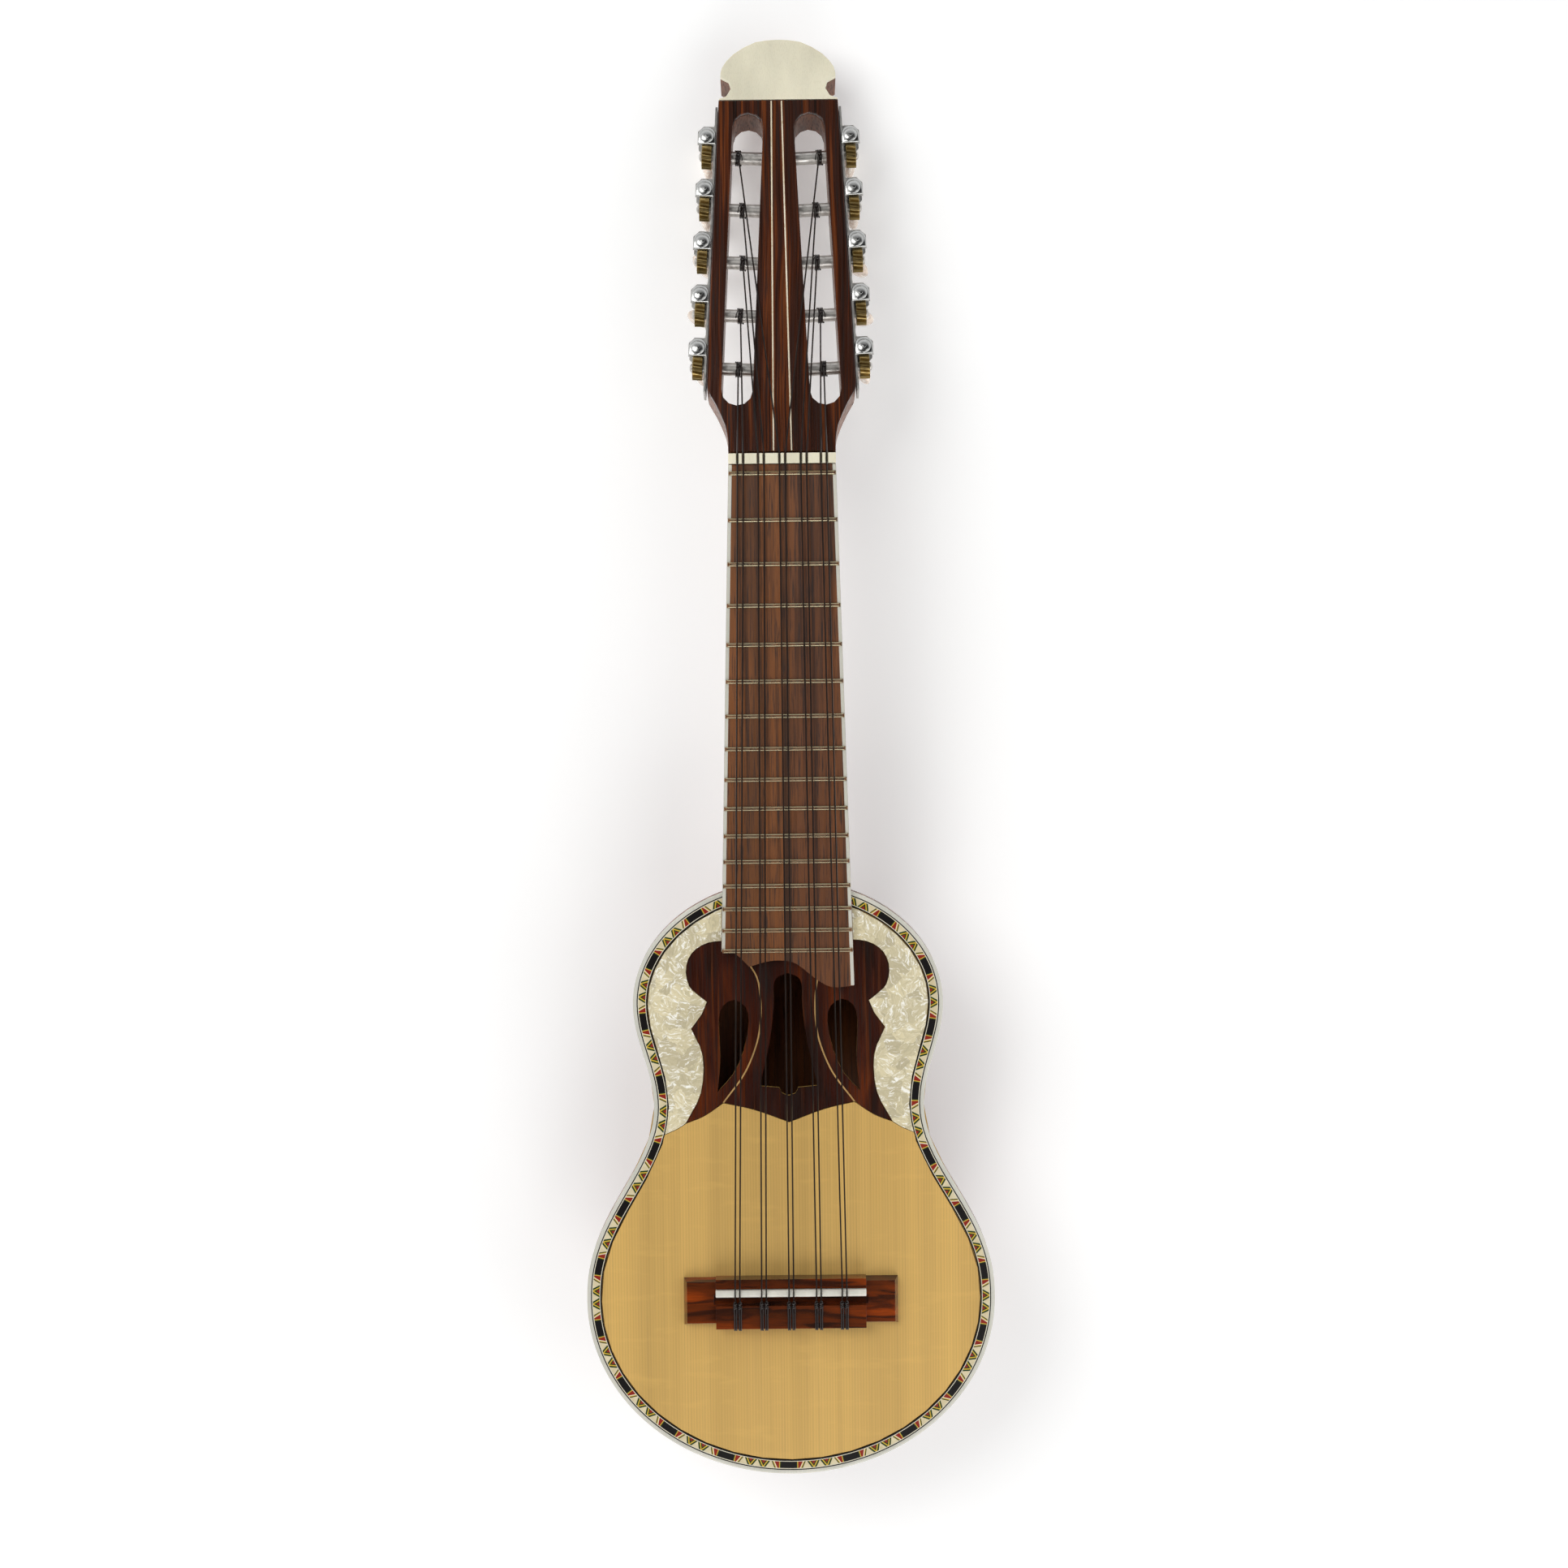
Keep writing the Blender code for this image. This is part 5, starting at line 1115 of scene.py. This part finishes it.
class CHARANGO_OT_tuner_metal(CharangoOperator):
    """Finish the side plates, gears and rollers, and add hoods and screws"""
    bl_idname = "charango.tuner_metal"
    bl_label = "Tuner metalwork"

    def build(self, scene):
        tuners = scene.charango_tuners
        screws = screw_tree(LOOKS["worn_steel"])
        for sign, side in SIDES:
            finished_copy("tuner_plate_" + side, "side_plate_" + side, "plate", 0.12 * MM, 30, 1)
            hoods = []
            spots, turns = [], []
            for number in TUNERS:
                tag = f"{side}_{number}"
                place = tuner_frame(side, number)
                hoods.append(self.hood(tuners, place))
                finished_copy("gear_" + tag, "gear_wheel_" + tag, "brass", 0.08 * MM, 30, 1,
                              "roller_" + tag)
                finished_copy("string_roller_" + tag, "roller_barrel_" + tag, "worn_steel", 0.15 * MM, 40, 2,
                              "roller_" + tag)
                joint = JOINTS["roller_turn_" + tag]
                out = Vector(joint["axis"]) * sign
                tip = Vector(joint["pos_m"]) + out * 2.85 * MM
                turn = out.to_track_quat("Z", "Y")
                screw = grown("gear_screw_" + tag, screws,
                              {"Head Radius": 1.9 * MM, "Head Height": 0.8 * MM, "Slot Width": 0.5 * MM},
                              [tip], [turn])
                settle(screw, "worn_steel", "roller_" + tag, 30)
                crest = (place.to_3x3() @ Vector((0, 1, 0)))
                plate_face = Vector(joint["pos_m"]) - out * 3.3 * MM
                for shift in (-5.9 * MM, 14.4 * MM):
                    spots.append(plate_face + crest * shift)
                    turns.append(turn)
            settle(joined(hoods, "tuner_hoods_" + side), "nickel", smooth=50)
            settle(grown("plate_screws_" + side, screws,
                         {"Head Radius": 1.5 * MM, "Head Height": 0.7 * MM, "Slot Width": 0.4 * MM},
                         spots, turns), "worn_steel", smooth=30)

    @staticmethod
    def hood(tuners, place):
        """A pressed cover over a worm's front lug: domed, square to the wheel, round to the crest."""
        half = tuners.hood_width / 2
        outline = [(-half, -3.6 * MM), (half, -3.6 * MM), (half, 1.0 * MM)]
        for k in range(1, 8):
            turn = math.radians(180 * k / 8)
            outline.append((half * math.cos(turn), 1.0 * MM + half * 0.95 * math.sin(turn)))
        outline.append((-half, 1.0 * MM))
        middle = 0.4 * MM
        base = LUG_FRONT - 1.35 * MM
        rings = []
        for share, height in ((1.0, base), (1.0, base + 0.9 * MM), (0.96, base + 1.5 * MM),
                              (0.86, base + 1.85 * MM), (0.6, base + 2.05 * MM), (0.3, base + 2.1 * MM)):
            rings.append([place @ Vector((x * share, middle + (y - middle) * share, height))
                          for x, y in outline])
        return loft(rings, "hood")


class CHARANGO_OT_worms(CharangoOperator):
    """Turn the worm shafts and shape the buttons"""
    bl_idname = "charango.worms"
    bl_label = "Worms and buttons"

    def build(self, scene):
        tuners = scene.charango_tuners
        for _, side in SIDES:
            for number in TUNERS:
                tag = f"{side}_{number}"
                turn = math.radians(BUTTON_TURNS[number - 1] - 90)
                place = tuner_frame(side, number) @ Matrix.Rotation(turn, 4, "Z")
                shaft = joined([self.shaft(tuners), self.thread()], "worm_shaft_" + tag)
                place_on(shaft, place)
                settle(shaft, "nickel", "button_" + tag, 40)
                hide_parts("tuning_worm_" + tag)
                button = self.button(tuners, "tuner_button_" + tag)
                place_on(button, place)
                settle(button, "button", "button_" + tag, 60)

    @staticmethod
    def shaft(tuners):
        """Turned shaft: a domed disc in front, journals, and the stem into the button."""
        disc = tuners.disc_radius
        top = SHAFT_TOP + 1.75 * MM
        profile = [(0.0, top), (0.35 * MM, top - 0.02 * MM), (disc * 0.3, top - 0.12 * MM),
                   (disc * 0.34, top - 0.3 * MM), (disc * 0.62, top - 0.42 * MM),
                   (disc * 0.9, top - 0.75 * MM),
                   (disc, top - 1.05 * MM), (disc, SHAFT_TOP), (1.5 * MM, SHAFT_TOP - 0.05 * MM),
                   (1.5 * MM, -6.6 * MM), (2.1 * MM, -6.7 * MM), (2.1 * MM, -7.4 * MM), (1.5 * MM, -7.6 * MM),
                   (1.5 * MM, BUTTON_TOP + 1.6 * MM), (2.3 * MM, BUTTON_TOP + 1.4 * MM),
                   (2.3 * MM, BUTTON_TOP + 0.5 * MM), (1.5 * MM, BUTTON_TOP + 0.2 * MM),
                   (1.5 * MM, BUTTON_TOP - 3 * MM)]
        sides = 24
        around = [(math.cos(2 * math.pi * k / sides), math.sin(2 * math.pi * k / sides))
                  for k in range(sides)]
        work = bmesh.new()
        pole = work.verts.new((0, 0, top))
        rows = [[work.verts.new((r * c, r * s, z)) for c, s in around] for r, z in profile[1:]]
        for k in range(sides):
            work.faces.new((pole, rows[0][k], rows[0][(k + 1) % sides]))
        for a, b in zip(rows, rows[1:]):
            for k in range(sides):
                j = (k + 1) % sides
                work.faces.new((a[k], a[j], b[j], b[k]))
        work.faces.new(rows[-1])
        return piece_from(work, "shaft")

    @staticmethod
    def thread():
        """Three turns of the worm's thread."""
        steps = 24
        rings = []
        for k in range(3 * steps + 1):
            turns = k / steps - 1.5
            angle = 2 * math.pi * turns
            ring = []
            for radius, across in ((1.2 * MM, -0.62 * MM), (2.88 * MM, -0.2 * MM), (2.88 * MM, 0.2 * MM),
                                   (1.2 * MM, 0.62 * MM)):
                ring.append((radius * math.cos(angle), radius * math.sin(angle), turns * WORM_LEAD + across))
            rings.append(ring)
        return loft(rings, "thread")

    @staticmethod
    def button(tuners, name):
        """An oval plate, thinner at its rim, drawn in to a collar where the shaft enters."""
        half_wide, half_long = tuners.button_width / 2, tuners.button_length / 2
        middle = BUTTON_TOP - half_long
        rings = []
        rows, sides = 20, 28
        for k in range(1, rows):
            turn = math.pi * k / rows
            high = math.cos(turn)
            wide = half_wide * math.sin(turn) ** 0.82
            thick = 3.1 * MM * math.sin(turn) ** 0.7
            if high > 0.72:
                wide = max(wide * (1 - (high - 0.72) * 1.1), 2.4 * MM)
            thick = min(thick, wide)
            ring = []
            for n in range(sides):
                angle = 2 * math.pi * n / sides
                c, s = math.cos(angle), math.sin(angle)
                ring.append((wide * math.copysign(abs(c) ** 0.9, c), thick * math.copysign(abs(s) ** 1.15, s),
                             middle + half_long * high))
            rings.append(ring)
        return loft(rings, name)


class CHARANGO_OT_stage(CharangoOperator):
    """Set the floor, the soft light and the camera"""
    bl_idname = "charango.stage"
    bl_label = "Stage"

    def build(self, scene):
        stage = scene.charango_stage
        scene.view_settings.view_transform = "Standard"
        self.floor()
        self.lights(scene, stage)
        target = Vector((-0.7 * MM, -10.9 * MM, FACE))
        out = Vector((0, math.sin(stage.pitch), math.cos(stage.pitch)))
        data = bpy.data.cameras.new("camera")
        data.lens = stage.lens
        data.clip_start = 0.05
        camera = bpy.data.objects.new("camera", data)
        scene.collection.objects.link(camera)
        up = Vector((0, out.z, -out.y))
        turn = Matrix((Vector((1, 0, 0)), up, out)).transposed()
        camera.matrix_world = (Matrix.Translation(target + out * stage.distance) @ turn.to_4x4()
                               @ Matrix.Rotation(-stage.roll, 4, "Z"))
        scene.camera = camera

    @staticmethod
    def floor():
        work = bmesh.new()
        bmesh.ops.create_grid(work, x_segments=1, y_segments=1, size=3.0)
        sheet = piece_from(work, "floor")
        made, tree, shader, place = start_material("pale_floor", 0.8)
        cloud = noise(tree, place, 3.0, 2.0)
        colour_and_gloss(tree, shader, ramp(tree, cloud, ((0.3, "#F4F4F2"), (0.7, "#F8F8F7"))))
        shader.inputs["Emission Color"].default_value = linear("#FFFFFF")
        shader.inputs["Emission Strength"].default_value = 0.2
        sheet.data.materials.append(made)

    @staticmethod
    def lights(scene, stage):
        world = bpy.data.worlds.new("studio")
        world.use_nodes = True
        tree = world.node_tree
        back = tree.nodes["Background"]
        # Dark overhead, so varnish doesn't turn milky, and bright towards the horizon for the metal.
        way = add_node(tree, "ShaderNodeTexCoord").outputs["Generated"]
        height = add_node(tree, "ShaderNodeSeparateXYZ", {0: way}).outputs["Z"]
        tree.links.new(ramp(tree, height, ((0.42, "#F6F7FA"), (0.74, "#232324"))), back.inputs["Color"])
        back.inputs["Strength"].default_value = stage.sky
        scene.world = world
        for name, spot, size, power in (("key", (-0.75, 0.55, 1.25), 0.9, stage.key_power),
                                        ("fill", (0.95, -0.35, 1.1), 1.2, stage.key_power * 0.45),
                                        ("tail", (0.15, -1.35, 1.0), 0.9, stage.key_power * 0.7)):
            data = bpy.data.lights.new(name, "AREA")
            data.size = size
            data.energy = power
            light = bpy.data.objects.new(name, data)
            scene.collection.objects.link(light)
            light.location = spot
            light.rotation_euler = Vector(spot).to_track_quat("Z", "Y").to_euler()


class CHARANGO_PT_panel(bpy.types.Panel):
    """Lists the charango's steps and settings"""
    bl_idname = "CHARANGO_PT_panel"
    bl_label = "Charango"
    bl_space_type = "VIEW_3D"
    bl_region_type = "UI"
    bl_category = "Charango"

    def draw(self, context):
        for operator in OPERATORS:
            self.layout.operator(operator.bl_idname)
        for name, group in GROUPS.items():
            box = self.layout.box()
            box.label(text=name.replace("_", " ").capitalize())
            for key in group.__annotations__:
                box.prop(getattr(context.scene, name), key)


OPERATORS = (CHARANGO_OT_looks, CHARANGO_OT_bowl, CHARANGO_OT_neck, CHARANGO_OT_rim,
             CHARANGO_OT_rosette_lines, CHARANGO_OT_fingerboard, CHARANGO_OT_bridge, CHARANGO_OT_ties,
             CHARANGO_OT_windings, CHARANGO_OT_tuner_metal, CHARANGO_OT_worms, CHARANGO_OT_stage)


def register():
    for group in GROUPS.values():
        bpy.utils.register_class(group)
    for operator in OPERATORS:
        bpy.utils.register_class(operator)
    bpy.utils.register_class(CHARANGO_PT_panel)
    for name, group in GROUPS.items():
        setattr(bpy.types.Scene, name, bpy.props.PointerProperty(type=group))


def unregister():
    for name in GROUPS:
        delattr(bpy.types.Scene, name)
    for made in (CHARANGO_PT_panel, *reversed(OPERATORS), *reversed(GROUPS.values())):
        bpy.utils.unregister_class(made)


def main():
    register()
    for operator in OPERATORS:
        family, name = operator.bl_idname.split(".")
        getattr(getattr(bpy.ops, family), name)()
    bpy.context.view_layer.update()


if __name__ == "__main__":
    main()
